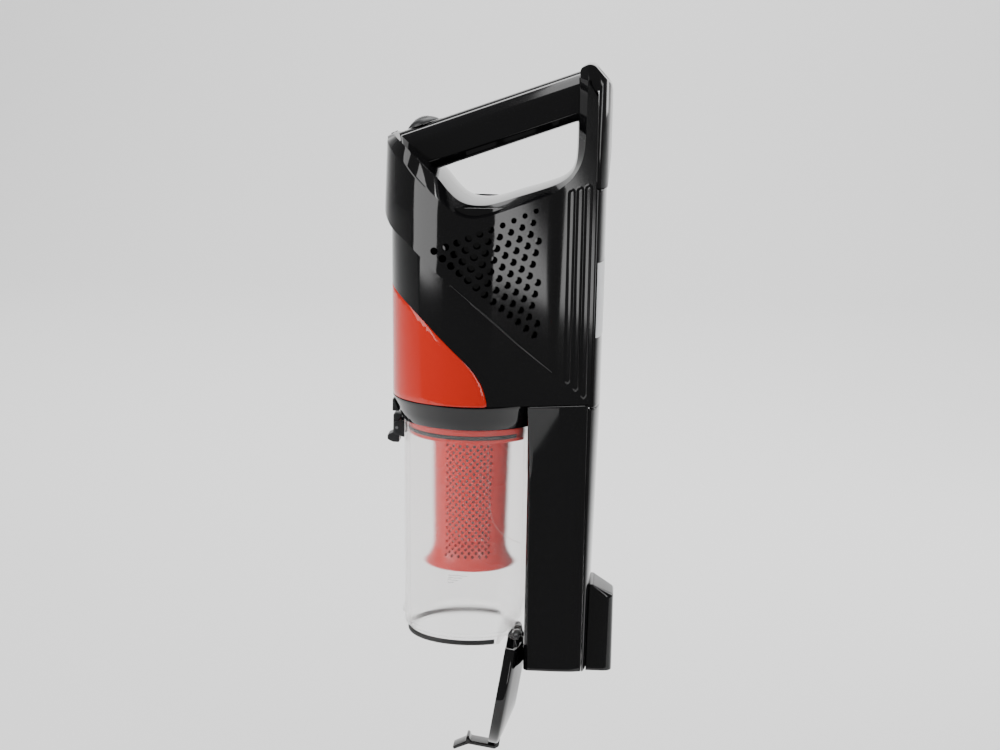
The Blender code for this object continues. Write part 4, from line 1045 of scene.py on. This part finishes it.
def labelPart():
    # a blank film that follows the cover's rounded back
    def sheet(offset):
        rows = []
        for z in np.linspace(30.0, 77.0, 12):
            back = np.interp(z, (-14.5, 123.0), (81.7, 82.4))
            line = backLine(backs["frontTop"], backs["halfTop"], back, 80)
            line = line + outwardNormals(line) * offset
            line = line[6:-6]
            rows.append(np.hstack([line, np.full((len(line), 1), z)]))
        return np.array(rows)
    outer, inner = sheet(0.16), sheet(0.02)
    return gridPart(np.concatenate([outer, inner[:, ::-1]], 1), closeColumns=True, capStart=True, capEnd=True)


piece("ratingPlate", [labelPart()], looks["paper"], "main", ("rating_plate",), sharp=30)

cap = {"socket": (78.45, 0.0, 192.6), "out": (11.4, 0.0, 10.3)}  # the socket's middle and direction


def topCap():
    # the side outline, kept inside the plan's outline, with its flanks cut to a slope
    side = [
        (76.3, 123.3), (83.0, 123.3), (84.6, 145), (84.6, 182), (83.6, 186.9), (73.3, 198.3), (69.5, 199),
        (64.2, 196.3), (64.2, 183), (76.3, 183),
    ]
    corners = [0.4, 1.0, 3, 3, 2.2, 2.6, 2.6, 2.0, 0.4, 0.4]
    made = makeMesh("topCap", [platePart(side, -40, 40, 0.01, "Y", corners)])
    plan = [(64.0, -21.0), (70.0, -26.8)] + backLine(76.0, 27.6, 84.7, 40)[::-1].tolist()
    plan += [(70.0, 26.8), (64.0, 21.0)]
    cutAway(made, [makeMesh("capPlan", [platePart(plan, 100, 220, 0.01, "Z", 0.5)])], "INTERSECT")
    tools = []
    for sign in (-1, 1):
        slope = [(sign * 60, 150), (sign * 31, 150), (sign * 22, 230), (sign * 60, 230)]
        tools.append(makeMesh("capSlope", [platePart(slope, 40, 120, 0.01, "X", 0.01)]))
    cutAway(made, tools)
    softenEdges(made, 0.9, 3, 38)
    bore = [(5.8, -9.0), (5.8, -0.8), (6.6, 0.2), (6.6, 5.0)]
    cutAway(made, [makeMesh("capBore", [aimedPart(bore, cap["socket"], cap["out"])])])
    return made


finishPiece(topCap(), looks["black"], "main", ("top_cap",), sharp=32)
socketRing = [
    (2.9, -6.5), (2.9, -1.5), (3.2, -1.2), (5.2, -1.2), (5.5, -1.5), (5.5, -8.6), (0.3, -8.6), (0.3, -6.5),
]
socketPin = [(0.2, -7.0), (0.9, -7.0), (0.9, -2.3), (0.6, -2.0), (0.1, -1.95)]
socketParts = [
    aimedPart(socketRing, cap["socket"], cap["out"], closed=True),
    aimedPart(socketPin, cap["socket"], cap["out"], 20),
]
piece("chargingSocket", socketParts, looks["dark"], "main", ("charging_socket",), sharp=40)
print("back covers and cap built")

# suction nozzle and the pod with the tube release

nozzle = {
    "front": 37.2, "back": 74.4, "half": 27.5, "wall": 2.4, "bottom": -187.5, "corner": 5.0,
    "tuck": 2.6,  # how far the rear edges are drawn in
}
flareLevels = (-62.0, -12.3)


def flareAt(z):
    # 0 at the flare's foot and 1 at its top
    return float(np.clip((z - flareLevels[0]) / (flareLevels[1] - flareLevels[0]), 0, 1))


def nozzleAt(z):
    # the front half width grows by the flare's share to the power 1.35
    flare = flareAt(z)
    frontHalf = nozzle["half"] + 14.3 * flare**1.35
    backHalf = nozzle["half"] + 1.3 * flare
    front, back = nozzle["front"], nozzle["back"]
    tuck = nozzle["tuck"] * (1 - flare)
    slope = (frontHalf - backHalf) / (back - front)
    near = [(back, backHalf - tuck), (back - 5.5, backHalf - 0.28 * tuck + 5.5 * slope),
            (back - 14.0, backHalf + 14.0 * slope), (front, frontHalf)]
    line = np.array(near + [(x, -y) for x, y in near[::-1]])
    soft = nozzle["corner"] * (1 - 0.7 * flare)
    return roundCorners(line, [0.6, 5.0, 5.0, soft, soft, 5.0, 5.0, 0.6], 6)


def nozzleDuct():
    duct = loftPart(nozzleAt, nozzle["bottom"], -12.4, 0.7, np.linspace(-185, -14, 60))
    made = makeMesh("nozzleDuct", [duct])
    front, back = nozzle["front"], nozzle["back"]
    wall = nozzle["wall"]
    side = nozzle["half"] - wall
    air = boxPart((front + wall, -side, -198.0), (back - wall, side, -28.0))
    inlet = boxPart((front - 20, -11.0, -62.0), (front + 10, 11.0, -38.0))
    cutAway(made, [makeMesh("cutAir", [air]), makeMesh("cutInlet", [inlet])])
    return made


finishPiece(nozzleDuct(), looks["black"], "main", ("nozzle_duct",), sharp=30)

pod = {"half": 15.0, "top": -132.0, "bottom": -189.5, "back": 93.9}


def podPiece():
    # the rear face leans in above the shoulder, along a line eased at both its ends
    slopeZ = np.array([-200.0, -187.9, -140.6, -139.6, -138.6, -132.9, -132.2, -131.9])
    slopeX = pod["back"] - np.array([0.0, 0.0, 0.0, 0.3, 1.4, 11.9, 13.0, 13.5])

    def outline(z):
        back = float(np.interp(z, slopeZ, slopeX))
        front = float(np.interp(z, (pod["bottom"], pod["top"]), (77.2, 78.35)))
        line = [(front, -pod["half"]), (back, -pod["half"]), (back, pod["half"]), (front, pod["half"])]
        soft = min(6.5, max(0.45 * (back - front), 0.3))
        return roundCorners(line, [0.5, soft, soft, 0.5], 8)

    middle = np.concatenate([np.linspace(-187.0, -141.0, 20), slopeZ[2:-1], [-136.0, -134.0]])
    made = makeMesh("latchPod", [loftPart(outline, pod["bottom"], pod["top"], 0.35, np.sort(middle))])
    room = [(70.0, -145.0), (91.7, -145.0), (91.7, -186.0), (70.0, -186.0)]
    window = boxPart((85.0, -8.3, -176.3), (100.0, 8.3, -151.7))
    cutAway(made, [makeMesh("podRoom", [platePart(room, -12.8, 12.8, 0.01, "Y", 0.4)]),
                   makeMesh("podWindow", [window])])
    return made


finishPiece(podPiece(), looks["black"], "main", ("latch_pod",), sharp=32)


def buttonPart():
    # a flat face on a wider rim, with three grip bars across it
    face = [(-8.0, -176.0), (8.0, -176.0), (8.0, -152.0), (-8.0, -152.0)]
    rim = [(-10.0, -178.0), (10.0, -178.0), (10.0, -150.0), (-10.0, -150.0)]
    parts = [platePart(face, 90.4, 93.2, 0.5, "X", 1.6), platePart(rim, 88.7, 91.1, 0.3, "X", 1.0)]
    for z in (-168.5, -164.0, -159.5):
        line = np.stack([np.full(21, 93.15), np.linspace(-5.5, 5.5, 21), np.full(21, z)], 1)
        parts.append(tubePart(line, 0.42, 10))
    return parts


piece("releaseButton", buttonPart(), looks["dark"], "release_button", ("tube_release_button",), sharp=35)
print("nozzle and release built")

# filter

filterShape = {
    "holePitch": 4.5, "holeRadius": 1.05, "wall": 1.2,
    "window": 36.0,  # degrees to each side of a perforated field's middle
    "top": -42.5, "low": -114.5,  # of the perforated fields
    "span": 24.0,  # mm in the unrolled drawing for each radian of turning angle
}

flangeProfile = [
    (40.1, -28.8, 34.2), (40.4, -29.1, 34.2), (40.4, -32.4, 34.2), (38.7, -32.4, 34.2), (38.7, -35.4, 34.2),
    (40.0, -35.4, 34.2), (40.0, -37.1, 34.2), (39.7, -37.4, 34.2), (20.5, -37.4, 34.2), (20.5, -33.0, 34.2),
    (33.0, -31.0, 34.2), (33.0, -28.8, 34.2),
]
piece("filterFlange", [trimmedPart(flangeProfile)], looks["filterRed"], "main", ("filter_flange",), sharp=35)
sealAngle = np.linspace(0, 2 * math.pi, 16, endpoint=False)
flangeSealLine = np.stack([39.95 + 0.95 * np.cos(sealAngle), -33.9 + 1.2 * np.sin(sealAngle)], 1)
piece("flangeSeal", [arcPart(flangeSealLine, 30.0)], looks["rubber"], "main", ("flange_seal",))

filterKnots = np.array([
    (-37.7, 24.8), (-44.0, 24.7), (-70.0, 24.1), (-108.0, 23.4), (-112.0, 23.7), (-116.0, 24.9),
    (-119.5, 26.9), (-122.3, 29.0),
])


def filterRadius(z):
    return np.interp(z, filterKnots[::-1, 0], filterKnots[::-1, 1])


def filterPart():
    # the drawing is unrolled: turning angle times the span across, height up
    span = filterShape["span"]
    seam = np.concatenate([np.linspace(-37.7, -107.0, 34), np.linspace(-108.0, -122.3, 22)])
    wide = 2 * math.pi * span
    top = np.linspace(0, wide, 97)
    outline = np.vstack([
        np.stack([top, np.full(97, -122.3)], 1), np.stack([np.full(55, wide), seam[::-1][1:]], 1),
        np.stack([top[::-1][1:], np.full(96, -37.7)], 1), np.stack([np.zeros(54), seam[1:-1]], 1),
    ])
    pitch = filterShape["holePitch"]
    rows = np.arange(int((filterShape["top"] - filterShape["low"]) / (pitch / 2)) + 1)
    halfWindow = math.radians(filterShape["window"]) * span
    count = int(2 * halfWindow / pitch)
    holes = []
    for middle in (0.25 * wide, 0.75 * wide):
        row, column = np.meshgrid(rows, np.arange(-count // 2, count // 2 + 2), indexing="ij")
        u = middle + (column + 0.5 * (row % 2) - 0.25) * pitch
        z = filterShape["top"] - row * pitch / 2
        keep = np.abs(u - middle) < halfWindow
        holes += [circlePoints((a, b), filterShape["holeRadius"], 10) for a, b in zip(u[keep], z[keep])]
    heights = np.concatenate([np.arange(-40.0, -107.0, -2.6), np.arange(-108.0, -121.8, -0.8)])
    loose = flatGrid(np.arange(1.5, wide - 1, 1.9), heights)

    def surface(flat):
        angle = flat[:, 0] / span
        radius = filterRadius(flat[:, 1])
        return np.stack([radius * np.cos(angle), radius * np.sin(angle), flat[:, 1]], 1)

    return sheetPart(outline, holes, [], loose, 0.6, surface)


sleeve = makeMesh("filterSleeve", [filterPart()], 0.02)
thicken(sleeve, filterShape["wall"], (0.0, 0.0, -80.0))
foot = turnedPart([
    (28.9, -121.9), (29.2, -122.1), (29.2, -122.5), (28.9, -122.9), (28.2, -123.2), (20.0, -123.6),
    (12.0, -123.7), (0.003, -123.7), (0.003, -122.4), (12.0, -122.4), (20.0, -122.4), (26.6, -122.1),
    (27.4, -121.8),
])
mergeInto(sleeve, makeMesh("filterFoot", [foot]))
sleeve.name = "cycloneFilter"
finishPiece(sleeve, looks["filterRed"], "main", ("cyclone_filter",), sharp=50)
print("filter built")

# clear cup

cup = {
    "topRadius": 43.9, "lowRadius": 41.7, "top": -28.4, "shoulder": -163.4, "wall": 1.8, "back": 36.6,
    "chordX": (21.6, 35.6), "chordZ": (-169.4, -151.6),  # the sloping plane at the lower back
}


def cupRadius(z):
    return np.interp(z, (cup["shoulder"], cup["top"]), (cup["lowRadius"], cup["topRadius"]))


def cupBack(z, inset):
    slanted = np.interp(z, (-190.0,) + cup["chordZ"], (cup["chordX"][0] - 16.2,) + cup["chordX"])
    return np.where(z < cup["chordZ"][1], slanted, cup["back"]) - inset


def cupParts():
    # rows down the outside and up the inside, each a circle cut off by its own flat back
    heights = np.concatenate([np.linspace(-28.7, -150.0, 26), np.linspace(-152.0, -161.4, 8)])
    outer = np.stack([cupRadius(heights), heights], 1).tolist()
    outer = [(43.6, -28.4)] + outer + [(41.3, -162.2), (40.6, -163.0), (39.7, -163.4), (38.0, -163.5)]
    outer += [(37.6, -163.9), (37.6, -169.0), (37.2, -169.4)]
    inner = [(36.4, -169.4), (36.0, -169.0), (36.0, -162.4)]
    innerHeights = np.concatenate([np.linspace(-160.4, -152.0, 8), np.linspace(-150.0, -28.7, 26)])
    inner += np.stack([cupRadius(innerHeights) - cup["wall"], innerHeights], 1).tolist() + [(42.4, -28.4)]
    rows = [(r, z, float(cupBack(z, 0.0))) for r, z in outer]
    rows += [(r, z, float(cupBack(z, cup["wall"]))) for r, z in inner]
    parts = [trimmedPart(rows, 120, 30)]
    ear = [(27.5, -160.0), (34.6, -160.0), (34.6, -170.5), (33.0, -172.0), (30.0, -172.0), (24.0, -168.5)]
    for sign in (-1, 1):
        parts.append(platePart(ear, sign * 9.0, sign * 12.0, 0.4, "Y", 1.2))
    nub = [(-42.8, -153.4), (-41.0, -152.4), (-41.0, -158.5), (-42.8, -157.0)]
    parts.append(platePart(nub, -4.5, 4.5, 0.4, "Y", 0.6))
    # the moulded inlet channel's edge: a fine bead down the inside of the near wall
    beadKnots = [(13, -31), (13.2, -50), (14, -70), (16, -84), (20, -92.5), (27, -99.5), (34, -104.5)]
    bead = curveThrough(beadKnots, 70)
    wall = cupRadius(bead[:, 1]) - cup["wall"] - 0.1
    depth = np.sqrt(wall**2 - bead[:, 0] ** 2)
    parts.append(tubePart(np.stack([bead[:, 0], -depth, bead[:, 1]], 1), 0.35, 8))
    return parts


dustCup = makeMesh("dustCup", cupParts(), 0.005)
finishPiece(dustCup, looks["clear"], "cup", ("dust_cup",), sharp=40)

sealLine = [
    (37.95, -165.5), (38.9, -165.5), (39.3, -166.2), (39.4, -167.0), (39.3, -167.8), (38.9, -168.4),
    (37.95, -168.4),
]
piece("cupSeal", [arcPart(sealLine, 19.0)], looks["rubber"], "cup", ("cup_seal",), sharp=50)


lugSide = [(-49.6, -31.0), (-42.9, -30.0), (-42.7, -41.0), (-49.6, -38.5)]
lugs = [platePart(lugSide, sign * 6.9, sign * 8.9, 0.3, "Y", 1.0) for sign in (-1, 1)]
piece("leverLugs", lugs, looks["dark"], "cup", slot="dust_cup", sharp=40)


def levelLinePart():
    # four thin raised lines that get shorter downwards and start on one side
    parts = []
    for number, length in enumerate((12.5, 9.5, 6.5, 4.0)):
        z = -122.0 - number * 1.6
        start = -math.pi / 2 - 0.26
        angle = np.linspace(start, start + length / 42, 24)
        radius = cupRadius(z)
        ring = []
        for offset, lift in ((0.0, -0.22), (0.09, -0.22), (0.09, 0.22), (0.0, 0.22)):
            r = radius + offset
            ring.append(np.stack([r * np.cos(angle), r * np.sin(angle), np.full(24, z + lift)], 1))
        parts.append(gridPart(np.stack(ring, 1), closeColumns=True, capStart=True, capEnd=True))
    return parts


piece("levelLines", levelLinePart(), looks["print"], "cup", slot="dust_cup")
print("cup built")

# lid, drawn shut and then turned open about its pin

lid = {"pinX": 32.0, "pinZ": -169.5, "open": -81.0, "chord": 29.0}


def lidPiece():
    outer = [
        (43.3, -163.8), (43.6, -164.2), (43.8, -168.6), (43.6, -169.6), (42.8, -170.4), (36.0, -172.4),
        (26.0, -174.9), (18.5, -176.6), (16.5, -177.0), (8.0, -177.0), (0.003, -177.0),
    ]
    inner = [
        (0.003, -175.1), (8.0, -175.1), (16.5, -175.1), (26.0, -173.0), (36.0, -170.5), (41.2, -169.4),
        (42.0, -168.6), (41.8, -164.2), (42.1, -163.8),
    ]
    dish = makeMesh("dustLid", [turnedPart(outer + inner, 144)])
    chord = boxPart((lid["chord"], -60.0, -210.0), (80.0, 60.0, -120.0))
    notch = boxPart((23.5, -13.4, -172.9), (42.0, 13.4, -129.5))
    cutAway(dish, [makeMesh("cutChord", [chord]), makeMesh("cutNotch", [notch])])
    parts = []
    tab = [
        (-41.0, -168.8), (-45.5, -168.8), (-45.6, -152.5), (-43.0, -151.0), (-43.0, -149.3), (-46.6, -149.3),
        (-52.0, -141.5), (-53.6, -142.6), (-48.2, -151.5), (-48.2, -169.0), (-46.0, -171.5), (-41.0, -171.4),
    ]
    parts.append(platePart(tab, -6.2, 6.2, 0.5, "Y", 0.7))
    for sign in (-1, 1):
        knuckle = [(1.45, -2.6), (2.5, -2.6), (3.0, -2.2), (3.0, 2.2), (2.5, 2.6), (1.45, 2.6)]
        centre = (lid["pinX"], sign * 5.8, lid["pinZ"])
        parts.append(aimedPart(knuckle, centre, (0.0, 1.0, 0.0), 40, closed=True))
        arm = [(20.3, -175.8), (20.3, -172.4), (29.6, -168.3), (31.9, -171.4), (29.6, -174.3)]
        parts.append(platePart(arm, sign * 3.4, sign * 8.2, 0.4, "Y", 0.7))
    mergeInto(dish, makeMesh("lidArms", parts))
    mesh = dish.data
    flat = np.empty(len(mesh.vertices) * 3)
    mesh.vertices.foreach_get("co", flat)
    shut = (flat.reshape(-1, 3) - drawingOrigin) * 1000
    opened = turnAbout(shut, lid["pinX"], lid["pinZ"], lid["open"])
    mesh.vertices.foreach_set("co", toFrame(opened).ravel())
    mesh.update()
    return dish


finishPiece(lidPiece(), looks["black"], "lid", ("dust_lid",), sharp=35)

# cup latch

catch = [(-51.0, -16.4), (-49.6, -16.4), (-46.5, -24.3), (-51.0, -24.3)]
catchParts = [platePart(catch, -6.0, 6.0, 0.4, "Y", 0.5)]
piece("cupCatch", catchParts, looks["dark"], "main", ("cup_catch",), sharp=35)
leverSide = [
    (-50.4, -26.3), (-45.0, -26.3), (-45.0, -28.6), (-46.3, -29.8), (-46.3, -44.7), (-50.4, -44.7),
    (-54.0, -43.0), (-54.0, -39.9), (-50.4, -38.3),
]
lever = makeMesh("cupLatchLever", [platePart(leverSide, -6.4, 6.4, 0.5, "Y", 0.8)])
bore = aimedPart([(1.2, -9.0), (1.2, 9.0)], (-47.7, 0.0, -34.5), (0.0, 1.0, 0.0), 32)
cutAway(lever, [makeMesh("leverBore", [bore])])
finishPiece(lever, looks["dark"], "latch_lever", ("cup_latch_lever",), sharp=35)
print("lid and latch built")

# floor, light and camera


def areaLight(name, place, target, size, power, tall=None):
    lamp = bpy.data.lights.new(name, "AREA")
    lamp.energy = power
    lamp.shape = "RECTANGLE"
    lamp.size = size
    lamp.size_y = tall or size
    holder = bpy.data.objects.new(name, lamp)
    bpy.context.scene.collection.objects.link(holder)
    holder.location = place
    holder.rotation_euler = (Vector(target) - Vector(place)).to_track_quat("-Z", "Y").to_euler()
    return holder


# The floor lies under every pose of the cup, and rises behind the object in a quarter circle.
floorPlace = {"drop": 0.12, "reach": 6.0, "front": -0.45, "bendStart": 3.0, "bendRadius": 1.6, "top": 5.0}
floorLevel = cadBounds[0][2] - floorPlace["drop"]
floorReach = floorPlace["reach"]
bendRadius = floorPlace["bendRadius"]
floor = bpy.data.meshes.new("floor")
bend = np.linspace(0, math.pi / 2, 24)
curve = np.stack([floorPlace["bendStart"] + bendRadius * np.sin(bend), bendRadius * (1 - np.cos(bend))], 1)
sweep = [(floorPlace["front"], 0.0)] + curve.tolist() + [(curve[-1, 0], floorPlace["top"])]
floorGrid = np.array([[(x, y, floorLevel + z) for y, z in sweep] for x in (floorReach, -floorReach)])
floor.from_pydata(floorGrid.reshape(-1, 3).tolist(), [], gridFaces(2, len(sweep)))
floor.shade_smooth()
floorObject = bpy.data.objects.new("floor", floor)
bpy.context.scene.collection.objects.link(floorObject)
floor.materials.append(plastic("paleFloor", (0.86, 0.86, 0.86), 0.55, depth=0.00001))

view = {
    "azimuth": 3.3, "down": 10.0, "roll": 1.15, "distance": 1.380, "lens": 77.6, "aim": (17.3, 0.0, 0.0),
}
world = bpy.data.worlds.new("studio")
world.use_nodes = True
world.node_tree.nodes["Background"].inputs["Color"].default_value = (1.0, 1.0, 1.0, 1.0)
world.node_tree.nodes["Background"].inputs["Strength"].default_value = 0.22
bpy.context.scene.world = world
lights = [
    areaLight("keyPanel", (-1.25, -0.75, 0.2), (0.0, 0.0, -0.05), 1.0, 14.0, 1.1),
    areaLight("sidePanel", (0.82, -1.2, 0.15), (0.03, 0.0, -0.02), 0.34, 5.0, 1.0),
    areaLight("topPanel", (0.0, -0.1, 1.5), (0.0, 0.0, 0.0), 1.2, 22.0),
    areaLight("rearPanel", (0.0, 1.6, 2.6), (0.0, 3.6, 0.4), 2.6, 190.0),
    areaLight("backRim", (1.1, 1.0, 0.5), (0.05, 0.0, 0.0), 0.5, 8.0, 1.2),
]

azimuth = math.radians(view["azimuth"])
down = math.radians(view["down"])
backward = Vector((math.sin(azimuth) * math.cos(down), -math.cos(azimuth) * math.cos(down), math.sin(down)))
right = Vector((math.cos(azimuth), math.sin(azimuth), 0.0))
upward = backward.cross(right)
roll = math.radians(view["roll"])
rightTurned = right * math.cos(roll) + upward * math.sin(roll)
upTurned = upward * math.cos(roll) - right * math.sin(roll)
aim = Vector(toFrame(view["aim"]))
lensData = bpy.data.cameras.new("viewCamera")
lensData.lens = view["lens"]
lensData.sensor_width = 36.0
cameraObject = bpy.data.objects.new("viewCamera", lensData)
bpy.context.scene.collection.objects.link(cameraObject)
turned = Matrix((rightTurned, upTurned, backward)).transposed().to_4x4()
cameraObject.matrix_world = Matrix.Translation(aim + backward * view["distance"]) @ turned
bpy.context.scene.camera = cameraObject
print("floor, light and camera ready")

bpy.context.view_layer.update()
